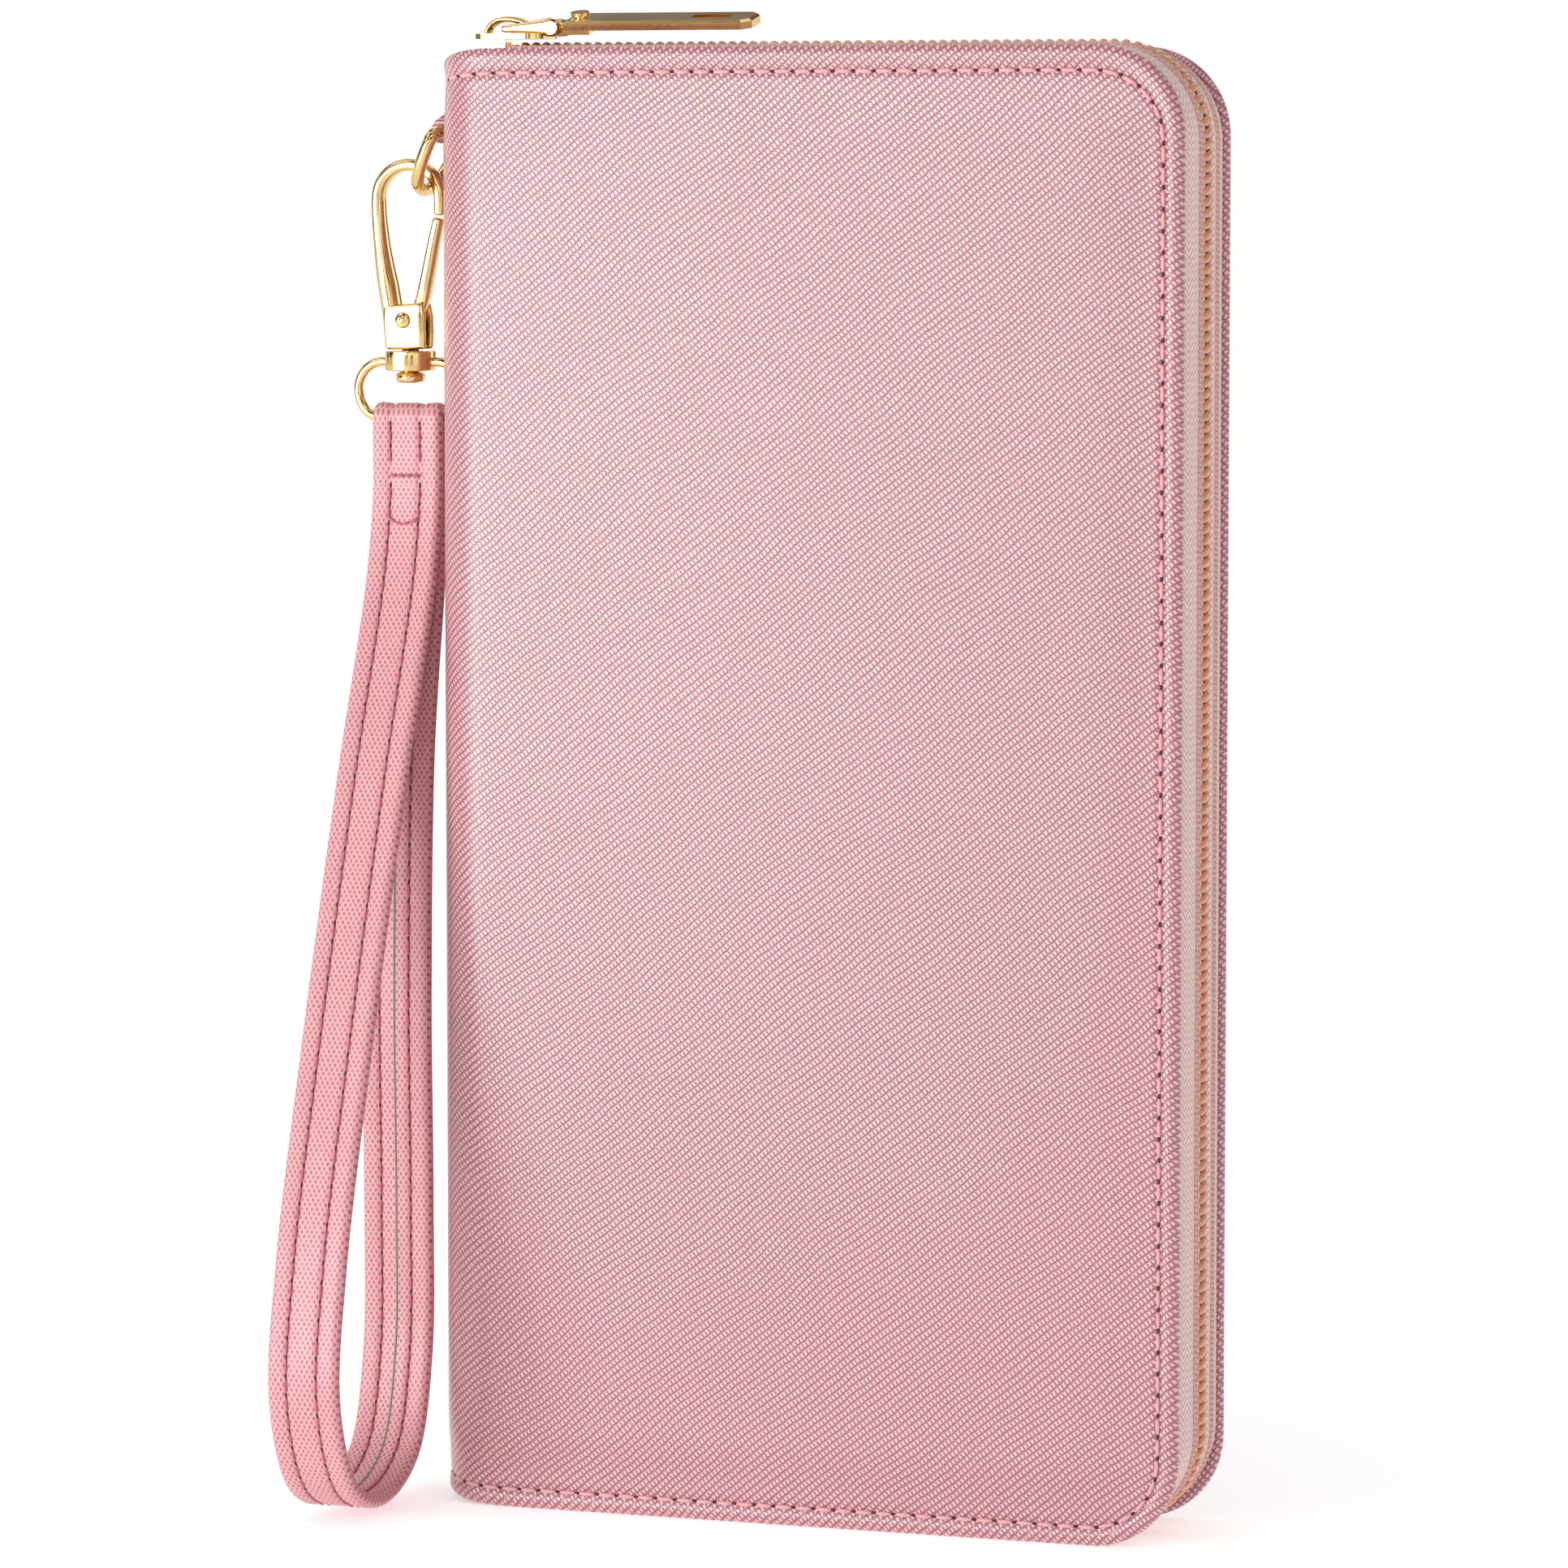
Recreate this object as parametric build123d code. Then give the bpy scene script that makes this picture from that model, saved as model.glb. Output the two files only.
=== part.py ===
from build123d import *
import math
import os

# Zip-around wristlet wallet standing on its lower edge. Millimetres.
# X runs from the spine's outer face to the long zipped side, Y from front to back, Z up.
# The origin is at the base of the spine's outer face, half way through the thickness.

# Outer size
WIDTH = 106.5
HEIGHT = 200.0
DEPTH = 24.0
CORNER_R = 12.0
BEND_R = 7.5
SPINE_TOP = 199.2

# Layer thicknesses of one half, outside to inside
LEATHER = 1.2
BOARD = 0.7
LINING = 0.5
LEAF = 0.7
SPINE_LINING = 0.6

# Fold gaps between the spine and each cover, as a half angle at the bend's centre
FOLD_ANGLE = 45.0
FOLD_HALF_GAP = 1.2
FOLD_LIMIT_X = -1.0

# Main zip: tape wall along Y, flange sewn under the cover edge, coil on the wall's outer side
TAPE = 0.6
TAPE_TOP = 199.3
TAPE_BOTTOM = 1.9
TAPE_SIDE = 105.4
TAPE_LEFT = 8.5
TAPE_INNER_Y = 0.8
FLANGE_WIDTH = 6.0
COIL = 1.6
COIL_Y = (0.8, 2.8)
COIL_LEFT = 8.5
STOP_LENGTH = 2.0

# Inside panels
LINING_GAP = 0.3
LINING_LEFT = 8.0
BOARD_GAP = 0.3
BOARD_LEFT = 9.0
LEAF_LEFT = 8.5
LEAF_MARGIN = 6.0
LEAF_EDGES = (84.0, 70.0, 56.0)
LEAF_CORNER = 3.0

# Coin pocket standing on the spine lining between the halves
POCKET_LOW, POCKET_HIGH = 8.0, 192.0
POCKET_RIGHT = 96.0
POCKET_WALL = (0.9, 1.6)
POCKET_SEAM = 3.0
POCKET_TAPE = (0.35, 0.85)
POCKET_TAPE_RIGHT = 99.0
POCKET_COIL_X = (99.0, 100.4)
POCKET_COIL_HALF = 0.9
COIN_SLIDER_Z = (176.0, 184.0)
COIN_SLIDER_X = (98.2, 101.6)
COIN_SLIDER_HALF = 2.4
COIN_PULL_X = 102.2
COIN_PULL_LENGTH = 9.0
COIN_PULL_HALF = 1.5
COIN_PULL_T = 0.8
COIN_WINDOW_HALF = 0.8
COIN_WINDOW_FOOT = 2.0
COIN_LUG_HALF = (0.5, 1.6)
COIN_CLEAR = 0.3

# Main slider and pull
SLIDER_X = (3.0, 13.0)
SLIDER_HALF = 4.2
SLIDER_CORNER = 2.0
SLIDER_LOW = (197.5, 198.3)
SLIDER_HIGH = (201.3, 202.0)
WEDGE_X = (4.0, 6.6)
WEDGE_HALF = 0.45
BRIDGE_X = (3.6, 10.8)
BRIDGE_TOP = 204.4
BRIDGE_BAR = 0.9
BRIDGE_HALF = 1.0
BRIDGE_ROUND = (0.9, 0.8)
LINK_X, LINK_Z = 7.6, 202.75
LINK_BAR_R = 0.5
LINK_ARM_Y = (1.7, 2.5)
LINK_ARM_HALF = 0.55
PIN_X, PIN_Z = 14.2, 202.75
PIN_R = 0.5
PIN_BORE_R = 0.55
PIN_HEAD_R = 0.9
PIN_HEAD = 0.4
NECK_HALF = 1.4
NECK_R = 1.0
NECK_END = 19.2
NECK_PLATE_Z = (202.1, 202.7)
PULL_TILT = 13.0
PULL_AXIS_Z = 203.0
RIVET_X = 17.6
RIVET_R = 0.8
RIVET_BORE_R = 0.86
RIVET_HEAD_R = 1.3
RIVET_TOP = 205.0
RIVET_HEAD = 0.45
TAB_X = (16.0, 43.0)
TAB_Z = (203.0, 204.3)
TAB_HALF = 3.0
TAB_CHAMFER = 1.2
TAB_BEVEL = 0.35
TAB_SLOT_X = (34.0, 39.5)
TAB_SLOT_HALF = 0.9

# D-ring and its leather tab on the spine
RING_BAR_X, RING_BAR_Z = -2.1, 188.6
RING_FOOT_X, RING_FOOT_Z = -5.6, 180.7
RING_WIRE_R = 0.9
RING_HALF = 5.4
RING_CORNER = 2.4
TAB_BORE_R = 0.98
TAB_SLEEVE_R = 2.05
TAB_HALF_Y = 4.2
RING_TAB_TOP = 198.0

# Snap hook
HOOK_X = -7.8
HOOK_WIRE_R = 0.95
HOOK_BEND_Z = 179.6
HOOK_BEND_R = 4.6
HOOK_TIP_Z = 178.0
HOOK_ARM = [(-10.7, 166.5), (-11.9, 172.5)]
HOOK_BASE = [
    (-10.8, 159.0),
    (-4.9, 159.0),
    (-4.7, 164.2),
    (-9.3, 169.0),
    (-11.9, 168.6),
    (-11.5, 164.0),
]
HOOK_BASE_HALF = 1.8
HOOK_SLOT_HALF = 0.9
HOOK_SLOT_LOW = 160.2
HOOK_SLOT_LEFT = -9.6
HOOK_SLOT_CLEAR = 0.35
GATE_X, GATE_Z = -8.2, 162.8
GATE_TIP_X, GATE_TIP_Z = -3.6, 176.3
GATE_HALF = 0.6
GATE_WIDTH = 1.7
GATE_LUG_R = 1.9
GATE_PIN_R = 1.1
GATE_BORE_R = 1.16
GATE_PIN_HALF = 2.1

# Swivel post and eye
POST_R = 1.2
POST_BORE_R = 1.27
POST_HEAD_R = 2.0
POST_HEAD_Z = (154.3, 155.5)
COLLAR_R = 3.5
COLLAR_Z = (155.8, 158.6)
EYE_HALF = 6.7
EYE_WIRE_R = 0.65
EYE_TOP, EYE_FOOT = 157.1, 149.4
EYE_TOP_CORNER = 3.0
EYE_FOOT_CORNER = 1.2

# Wrist strap: a flat band sewn into a closed teardrop in the plane across X
STRAP_WIDTH = 10.4
STRAP_HALF_T = 1.0
STRAP_CORE = 0.4
STRAP_BORE_R = 0.95
STRAP_STATIONS = 40
STRAP_INNER_SHARE = 0.98
SLEEVE_FOOT = 138.0
STRAP_LINE = [
    (-1.0, 140.0),
    (-3.4, 128.0),
    (-14.5, 100.0),
    (-27.5, 64.0),
    (-36.5, 36.0),
    (-39.0, 18.0),
    (-33.0, 5.6),
    (-22.0, 2.3),
    (-11.0, 7.0),
    (-6.2, 20.0),
    (-5.6, 40.0),
    (-6.0, 70.0),
    (-4.4, 104.0),
    (-0.2, 128.0),
    (1.0, 140.0),
]


def side_plane(y):
    """The plane across Y at this depth, local axes along X and Z, extruding towards the front."""
    return Plane(origin=(0, y, 0), x_dir=(1, 0, 0), z_dir=(0, -1, 0))


def plate(x, z, radius, y):
    """A flat plate across Y whose two right corners are rounded."""
    middle = sum(x) / 2
    face = Pos(middle, sum(z) / 2) * Rectangle(x[1] - x[0], z[1] - z[0])
    if radius:
        face = fillet([v for v in face.vertices() if v.X > middle], radius)
    return extrude(side_plane(max(y)) * face, amount=abs(y[1] - y[0]))


def block(x, y, z):
    """A box between the given limits."""
    centre = (sum(x) / 2, sum(y) / 2, sum(z) / 2)
    return Pos(*centre) * Box(x[1] - x[0], y[1] - y[0], z[1] - z[0])


def rod(x, z, radius, y):
    """A round rod along Y."""
    return Pos(x, sum(y) / 2, z) * Rot(90, 0, 0) * Cylinder(radius, abs(y[1] - y[0]))


def post(x, y, radius, z):
    """A round post along Z."""
    return Pos(x, y, sum(z) / 2) * Cylinder(radius, z[1] - z[0])


def zip_strip(left, outer, thickness, y):
    """A strip along the top, round both corners and along the bottom, open at the spine end."""
    grown = plate(
        (left, TAPE_SIDE + outer), (TAPE_BOTTOM - outer, TAPE_TOP + outer), CORNER_R + outer, y
    )
    inner = outer - thickness
    long_y = (min(y) - 1, max(y) + 1)
    hollow = plate(
        (left - 1, TAPE_SIDE + inner), (TAPE_BOTTOM - inner, TAPE_TOP + inner), CORNER_R + inner, long_y
    )
    return grown - hollow


def bent_panel(lines, height):
    """A sheet of leather standing on the base, from its closed outline in plan."""
    return extrude(make_face(lines), amount=height)


def front_leather():
    centre = (BEND_R, -DEPTH / 2 + BEND_R)
    outside, inside = -DEPTH / 2, -DEPTH / 2 + LEATHER
    start = 180 + FOLD_ANGLE + FOLD_HALF_GAP
    outer_arc = CenterArc(centre, BEND_R, start, 270 - start)
    inner_arc = CenterArc(centre, BEND_R - LEATHER, start, 270 - start)
    lines = [
        outer_arc,
        Line((BEND_R, outside), (WIDTH, outside)),
        Line((WIDTH, outside), (WIDTH, inside)),
        Line((WIDTH, inside), (BEND_R, inside)),
        inner_arc,
        Line(inner_arc @ 0, outer_arc @ 0),
    ]
    outline = plate((FOLD_LIMIT_X, WIDTH), (0, HEIGHT), CORNER_R, (-DEPTH, DEPTH))
    return bent_panel(lines, HEIGHT) & outline


def spine_leather():
    low = (BEND_R, -DEPTH / 2 + BEND_R)
    high = (BEND_R, DEPTH / 2 - BEND_R)
    sweep = FOLD_ANGLE - FOLD_HALF_GAP
    arcs = {
        (name, radius): CenterArc(centre, radius, start, sweep)
        for name, centre, start in (("low", low, 180), ("high", high, 180 - sweep))
        for radius in (BEND_R, BEND_R - LEATHER)
    }
    outer, inner = BEND_R, BEND_R - LEATHER
    lines = list(arcs.values()) + [
        Line((0, low[1]), (0, high[1])),
        Line((LEATHER, low[1]), (LEATHER, high[1])),
        Line(arcs["low", outer] @ 1, arcs["low", inner] @ 1),
        Line(arcs["high", outer] @ 0, arcs["high", inner] @ 0),
    ]
    return bent_panel(lines, SPINE_TOP)


def half_layers():
    """The front half's pieces by plain name; the back half mirrors them."""
    outside = -DEPTH / 2
    board_y = (outside + LEATHER, outside + LEATHER + BOARD)
    lining_y = (board_y[1], board_y[1] + LINING)
    inner_x = TAPE_SIDE - TAPE - LINING_GAP
    inner_low = TAPE_BOTTOM + TAPE + LINING_GAP
    inner_high = TAPE_TOP - TAPE - LINING_GAP
    inner_r = CORNER_R - TAPE - LINING_GAP
    edge = FLANGE_WIDTH + BOARD_GAP
    pieces = {"cover": front_leather()}
    pieces["board"] = plate(
        (BOARD_LEFT, TAPE_SIDE - edge),
        (TAPE_BOTTOM + edge, TAPE_TOP - edge),
        CORNER_R - edge,
        board_y,
    )
    pieces["lining"] = plate((LINING_LEFT, inner_x), (inner_low, inner_high), inner_r, lining_y)
    for i, right in enumerate(LEAF_EDGES):
        near = lining_y[1] + i * LEAF
        pieces[f"card_leaf_{i + 1}"] = plate(
            (LEAF_LEFT, right), (LEAF_MARGIN, HEIGHT - LEAF_MARGIN), LEAF_CORNER, (near, near + LEAF)
        )
    flange = zip_strip(TAPE_LEFT, 0, FLANGE_WIDTH, board_y)
    wall = zip_strip(TAPE_LEFT, 0, TAPE, (board_y[1], -TAPE_INNER_Y))
    pieces["zip_tape"] = flange + wall
    pieces["zip_coil"] = zip_strip(COIL_LEFT, COIL, COIL, (-COIL_Y[1], -COIL_Y[0]))
    return pieces


def coin_pocket():
    tall = (POCKET_LOW, POCKET_HIGH)
    left = LEATHER + SPINE_LINING
    near, far = POCKET_WALL
    wall = block((left, POCKET_RIGHT), (-far, -near), tall)
    outer = block((left, POCKET_RIGHT), (-near, near), tall)
    inner = block(
        (left + POCKET_SEAM, POCKET_RIGHT + 1),
        (-near - 1, near + 1),
        (POCKET_LOW + POCKET_SEAM, POCKET_HIGH - POCKET_SEAM),
    )
    tape_left = POCKET_RIGHT - POCKET_SEAM
    tape_z = (POCKET_LOW + POCKET_SEAM, POCKET_HIGH - POCKET_SEAM)
    tape = block((tape_left, POCKET_TAPE_RIGHT), (-POCKET_TAPE[1], -POCKET_TAPE[0]), tape_z)
    coil = block(POCKET_COIL_X, (-POCKET_COIL_HALF, POCKET_COIL_HALF), tape_z)
    return {
        "coin_pocket_front_wall": wall,
        "coin_pocket_back_wall": mirror(wall, about=Plane.XZ),
        "coin_pocket_gusset": outer - inner,
        "coin_pocket_front_tape": tape,
        "coin_pocket_back_tape": mirror(tape, about=Plane.XZ),
        "coin_pocket_coil": coil,
    }


def coin_slider():
    solid = block(COIN_SLIDER_X, (-COIN_SLIDER_HALF, COIN_SLIDER_HALF), COIN_SLIDER_Z)
    channel = block(
        (COIN_SLIDER_X[0] - 1, POCKET_COIL_X[1] + COIN_CLEAR),
        (-POCKET_COIL_HALF - COIN_CLEAR, POCKET_COIL_HALF + COIN_CLEAR),
        (COIN_SLIDER_Z[0] - 1, COIN_SLIDER_Z[1] + 1),
    )
    lug_z = sum(COIN_SLIDER_Z) / 2
    lug_half, lug_tall = COIN_LUG_HALF
    lug = block(
        (COIN_SLIDER_X[1], COIN_PULL_X + LINK_BAR_R), (-lug_half, lug_half), (lug_z - lug_tall, lug_z + lug_tall)
    )
    bore = rod(COIN_PULL_X, lug_z, PIN_BORE_R, (-1, 1))
    body = solid - channel + (lug - bore)
    pull_low = lug_z - COIN_PULL_LENGTH
    frame_x = (COIN_PULL_X - COIN_PULL_T / 2, COIN_PULL_X + COIN_PULL_T / 2)
    frame = block(frame_x, (-COIN_PULL_HALF, COIN_PULL_HALF), (pull_low, lug_z))
    window = block(
        (COIN_PULL_X - 1, COIN_PULL_X + 1),
        (-COIN_WINDOW_HALF, COIN_WINDOW_HALF),
        (pull_low + COIN_WINDOW_FOOT, lug_z + 1),
    )
    pull = frame - window + rod(COIN_PULL_X, lug_z, PIN_R, (-COIN_PULL_HALF, COIN_PULL_HALF))
    return body, pull


def main_slider():
    wide = (-SLIDER_HALF, SLIDER_HALF)
    plan = Pos(sum(SLIDER_X) / 2, 0) * RectangleRounded(
        SLIDER_X[1] - SLIDER_X[0], 2 * SLIDER_HALF, SLIDER_CORNER
    )
    low = Pos(0, 0, SLIDER_LOW[0]) * extrude(plan, amount=SLIDER_LOW[1] - SLIDER_LOW[0])
    high = Pos(0, 0, SLIDER_HIGH[0]) * extrude(plan, amount=SLIDER_HIGH[1] - SLIDER_HIGH[0])
    wedge = block(WEDGE_X, (-WEDGE_HALF, WEDGE_HALF), (SLIDER_LOW[1], SLIDER_HIGH[0]))
    body = low + wedge + high
    arch_z = (SLIDER_HIGH[1], BRIDGE_TOP)
    middle = sum(BRIDGE_X) / 2
    span = BRIDGE_X[1] - BRIDGE_X[0]
    rise = arch_z[1] - arch_z[0]
    outer = Pos(middle, arch_z[0]) * Rectangle(span, 2 * rise)
    outer = fillet(outer.vertices(), rise * BRIDGE_ROUND[0])
    hole = Pos(middle, arch_z[0]) * Rectangle(span - 2 * BRIDGE_BAR, 2 * (rise - BRIDGE_BAR))
    hole = fillet(hole.vertices(), (rise - BRIDGE_BAR) * BRIDGE_ROUND[1])
    arch = extrude(side_plane(BRIDGE_HALF) * (outer - hole), amount=2 * BRIDGE_HALF)
    above = block((0, TAB_X[0]), wide, (arch_z[0], arch_z[1] + 1))
    return body, arch & above


def pull_pieces():
    reach = (-LINK_ARM_Y[1], LINK_ARM_Y[1])
    link = rod(LINK_X, LINK_Z, LINK_BAR_R, reach)
    for sign in (-1, 1):
        side = sorted((sign * LINK_ARM_Y[0], sign * LINK_ARM_Y[1]))
        arm = block((LINK_X, PIN_X), side, (LINK_Z - LINK_ARM_HALF, LINK_Z + LINK_ARM_HALF))
        link += arm + rod(LINK_X, LINK_Z, LINK_ARM_HALF, side) + rod(PIN_X, PIN_Z, NECK_R, side)
    link -= rod(PIN_X, PIN_Z, PIN_R, reach)
    pin = rod(PIN_X, PIN_Z, PIN_R, reach)
    for sign in (-1, 1):
        head = (sign * LINK_ARM_Y[1], sign * (LINK_ARM_Y[1] + PIN_HEAD))
        pin += rod(PIN_X, PIN_Z, PIN_HEAD_R, sorted(head))

    def tilted(shape):
        return Pos(0, 0, PULL_AXIS_Z) * Rot(PULL_TILT, 0, 0) * Pos(0, 0, -PULL_AXIS_Z) * shape

    plate_x = (PIN_X, NECK_END)
    neck = rod(PIN_X, PIN_Z, NECK_R, (-NECK_HALF, NECK_HALF))
    neck += tilted(block(plate_x, (-NECK_HALF, NECK_HALF), NECK_PLATE_Z))
    neck -= rod(PIN_X, PIN_Z, PIN_BORE_R, (-NECK_HALF - 1, NECK_HALF + 1))
    neck += tilted(post(RIVET_X, 0, RIVET_R, (NECK_PLATE_Z[0], RIVET_TOP - RIVET_HEAD)))
    head = tilted(post(RIVET_X, 0, RIVET_HEAD_R, (RIVET_TOP - RIVET_HEAD, RIVET_TOP)))
    tab = block(TAB_X, (-TAB_HALF, TAB_HALF), TAB_Z)
    tab = chamfer(tab.edges().filter_by(Axis.Z).sort_by(Axis.X)[-2:], TAB_CHAMFER)
    tab = chamfer(tab.faces().sort_by(Axis.Z)[-1].edges(), TAB_BEVEL)
    slot = block(TAB_SLOT_X, (-TAB_SLOT_HALF, TAB_SLOT_HALF), (TAB_Z[0] - 1, TAB_Z[1] + 1))
    tab = tab - slot - post(RIVET_X, 0, RIVET_BORE_R, (TAB_Z[0] - 1, TAB_Z[1] + 1))
    return link, pin, neck, head, tilted(tab)


def ring_and_tab():
    reach = math.dist((RING_BAR_X, RING_BAR_Z), (RING_FOOT_X, RING_FOOT_Z))
    lean = Vector(RING_FOOT_X - RING_BAR_X, 0, RING_FOOT_Z - RING_BAR_Z).normalized()
    across = lean.cross(Vector(0, 1, 0))
    plane = Plane(origin=(RING_BAR_X, 0, RING_BAR_Z), x_dir=(0, 1, 0), z_dir=across)
    sign = 1 if plane.y_dir.dot(lean) > 0 else -1
    loop = Pos(0, sign * reach / 2) * Rectangle(2 * RING_HALF, reach)
    foot = [v for v in loop.vertices() if abs(v.Y) > reach / 2]
    loop = fillet(foot, RING_CORNER)
    loop = fillet([v for v in loop.vertices() if abs(v.Y) < 1e-6], RING_WIRE_R + 0.1)
    path = (plane * loop).face().outer_wire()
    start = Plane(origin=path @ 0.02, z_dir=path % 0.02)
    ring = sweep(start * Circle(RING_WIRE_R), path=path)
    sleeve = rod(RING_BAR_X, RING_BAR_Z, TAB_SLEEVE_R, (-TAB_HALF_Y, TAB_HALF_Y))
    lap = block((RING_BAR_X, 0), (-TAB_HALF_Y, TAB_HALF_Y), (RING_BAR_Z, RING_TAB_TOP))
    past_spine = block((0, 5), (-DEPTH, DEPTH), (0, HEIGHT))
    bore = rod(RING_BAR_X, RING_BAR_Z, TAB_BORE_R, (-DEPTH, DEPTH))
    return ring, sleeve + lap - past_spine - bore


def hook_pieces():
    base = extrude(side_plane(HOOK_BASE_HALF) * Polygon(*HOOK_BASE, align=None), amount=2 * HOOK_BASE_HALF)
    lug_y = (-HOOK_SLOT_HALF, HOOK_SLOT_HALF)
    slot = block((HOOK_SLOT_LEFT, 0), lug_y, (HOOK_SLOT_LOW, HOOK_TIP_Z))
    slot += rod(GATE_X, GATE_Z, GATE_LUG_R + HOOK_SLOT_CLEAR, lug_y)
    left = (HOOK_X - HOOK_BEND_R, HOOK_BEND_Z)
    top = (HOOK_X, HOOK_BEND_Z + HOOK_BEND_R)
    right = (HOOK_X + HOOK_BEND_R, HOOK_BEND_Z)
    plane = side_plane(0)
    arm = Spline(*HOOK_ARM, left, tangents=[(-0.2, 1), (0, 1)])
    bend = ThreePointArc(left, top, right)
    tip = Line(right, (right[0], HOOK_TIP_Z))
    path = plane * Wire([arm, bend, tip])
    wire = sweep(Plane(origin=path @ 0, z_dir=path % 0) * Circle(HOOK_WIRE_R), path=path)
    body = base - slot + wire
    pin = rod(GATE_X, GATE_Z, GATE_PIN_R, (-GATE_PIN_HALF, GATE_PIN_HALF))
    body -= pin
    run = math.dist((GATE_X, GATE_Z), (GATE_TIP_X, GATE_TIP_Z))
    turn = math.degrees(math.atan2(GATE_TIP_X - GATE_X, GATE_TIP_Z - GATE_Z))
    lever = Pos(GATE_X, 0, GATE_Z) * Rot(0, turn, 0) * Pos(0, 0, run / 2) * Box(GATE_WIDTH, 2 * GATE_HALF, run)
    lug = rod(GATE_X, GATE_Z, GATE_LUG_R, (-GATE_HALF, GATE_HALF))
    gate = lever + lug - rod(GATE_X, GATE_Z, GATE_BORE_R, (-1, 1))
    stem = post(HOOK_X, 0, POST_R, (POST_HEAD_Z[0], HOOK_BASE[0][1]))
    swivel = stem + post(HOOK_X, 0, POST_HEAD_R, POST_HEAD_Z)
    return body, pin, gate, swivel


def swivel_eye():
    height = EYE_TOP - EYE_FOOT
    loop = Pos(HOOK_X, EYE_FOOT + height / 2) * Rectangle(2 * EYE_HALF, height)
    loop = fillet([v for v in loop.vertices() if v.Y > EYE_FOOT + 1], EYE_TOP_CORNER)
    loop = fillet([v for v in loop.vertices() if v.Y < EYE_FOOT + 0.1], EYE_FOOT_CORNER)
    path = (side_plane(0) * loop).face().outer_wire()
    wire = sweep(Plane(origin=path @ 0, z_dir=path % 0) * Circle(EYE_WIRE_R), path=path)
    eye = wire + post(HOOK_X, 0, COLLAR_R, COLLAR_Z)
    return eye - post(HOOK_X, 0, POST_BORE_R, (COLLAR_Z[0] - 1, COLLAR_Z[1] + 1))


def strap_pieces():
    plane = Plane(origin=(HOOK_X - STRAP_WIDTH / 2, 0, 0), x_dir=(0, 1, 0), z_dir=(1, 0, 0))
    line = Spline(*STRAP_LINE, tangents=[(0, -1), (0, 1)])

    def rim(shift):
        steps = [i / STRAP_STATIONS for i in range(STRAP_STATIONS + 1)]
        points = [line @ t + Vector(-(line % t).Y, (line % t).X) * shift for t in steps]
        curve = Spline(*points)
        return make_face([curve, Line(curve @ 1, curve @ 0)])

    def band(half):
        """The band's profile; its inner curve is a little shy of half so that its two ends stay apart."""
        return rim(-half) - rim(half * STRAP_INNER_SHARE)

    sleeve = Pos(0, (SLEEVE_FOOT + EYE_FOOT) / 2) * Rectangle(4 * STRAP_HALF_T, EYE_FOOT - SLEEVE_FOOT)
    sleeve += Pos(0, EYE_FOOT) * Circle(2 * STRAP_HALF_T)
    profile = band(STRAP_HALF_T) + sleeve - Pos(0, EYE_FOOT) * Circle(STRAP_BORE_R)
    strap = extrude(plane * profile, amount=STRAP_WIDTH)
    core = Pos(STRAP_CORE * 2, 0, 0) * extrude(
        plane * band(STRAP_CORE / 2), amount=STRAP_WIDTH - 4 * STRAP_CORE
    )
    return strap - core, core


def build():
    nodes = {"spine_leather": spine_leather()}
    lining_y = (-DEPTH / 2 + BEND_R, DEPTH / 2 - BEND_R)
    lining_z = (LEAF_MARGIN, HEIGHT - LEAF_MARGIN)
    nodes["spine_lining"] = block((LEATHER, LEATHER + SPINE_LINING), lining_y, lining_z)
    for name, piece in half_layers().items():
        nodes[f"front_{name}"] = piece
        nodes[f"back_{name}"] = mirror(piece, about=Plane.XZ)
    stop_x = (COIL_LEFT - STOP_LENGTH, COIL_LEFT)
    for name, low in (("bottom", TAPE_BOTTOM - COIL), ("top", TAPE_TOP)):
        nodes[f"zip_{name}_stop"] = block(stop_x, COIL_Y, (low, low + COIL))
    nodes.update(coin_pocket())
    nodes["coin_slider"], nodes["coin_pull"] = coin_slider()
    nodes["slider_body"], nodes["slider_bridge"] = main_slider()
    (
        nodes["pull_link"],
        nodes["pull_pin"],
        nodes["pull_neck"],
        nodes["pull_rivet_head"],
        nodes["pull_tab"],
    ) = pull_pieces()
    nodes["d_ring"], nodes["ring_tab"] = ring_and_tab()
    nodes["hook_body"], nodes["gate_pin"], nodes["hook_gate"], nodes["swivel_post"] = hook_pieces()
    nodes["swivel_eye"] = swivel_eye()
    nodes["wrist_strap"], nodes["strap_core"] = strap_pieces()
    return nodes


def write(nodes):
    os.makedirs("parts", exist_ok=True)
    for name, shape in nodes.items():
        shape.label = name
        export_step(shape, f"parts/{name}.step")


if __name__ == "__main__":
    write(build())
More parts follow.
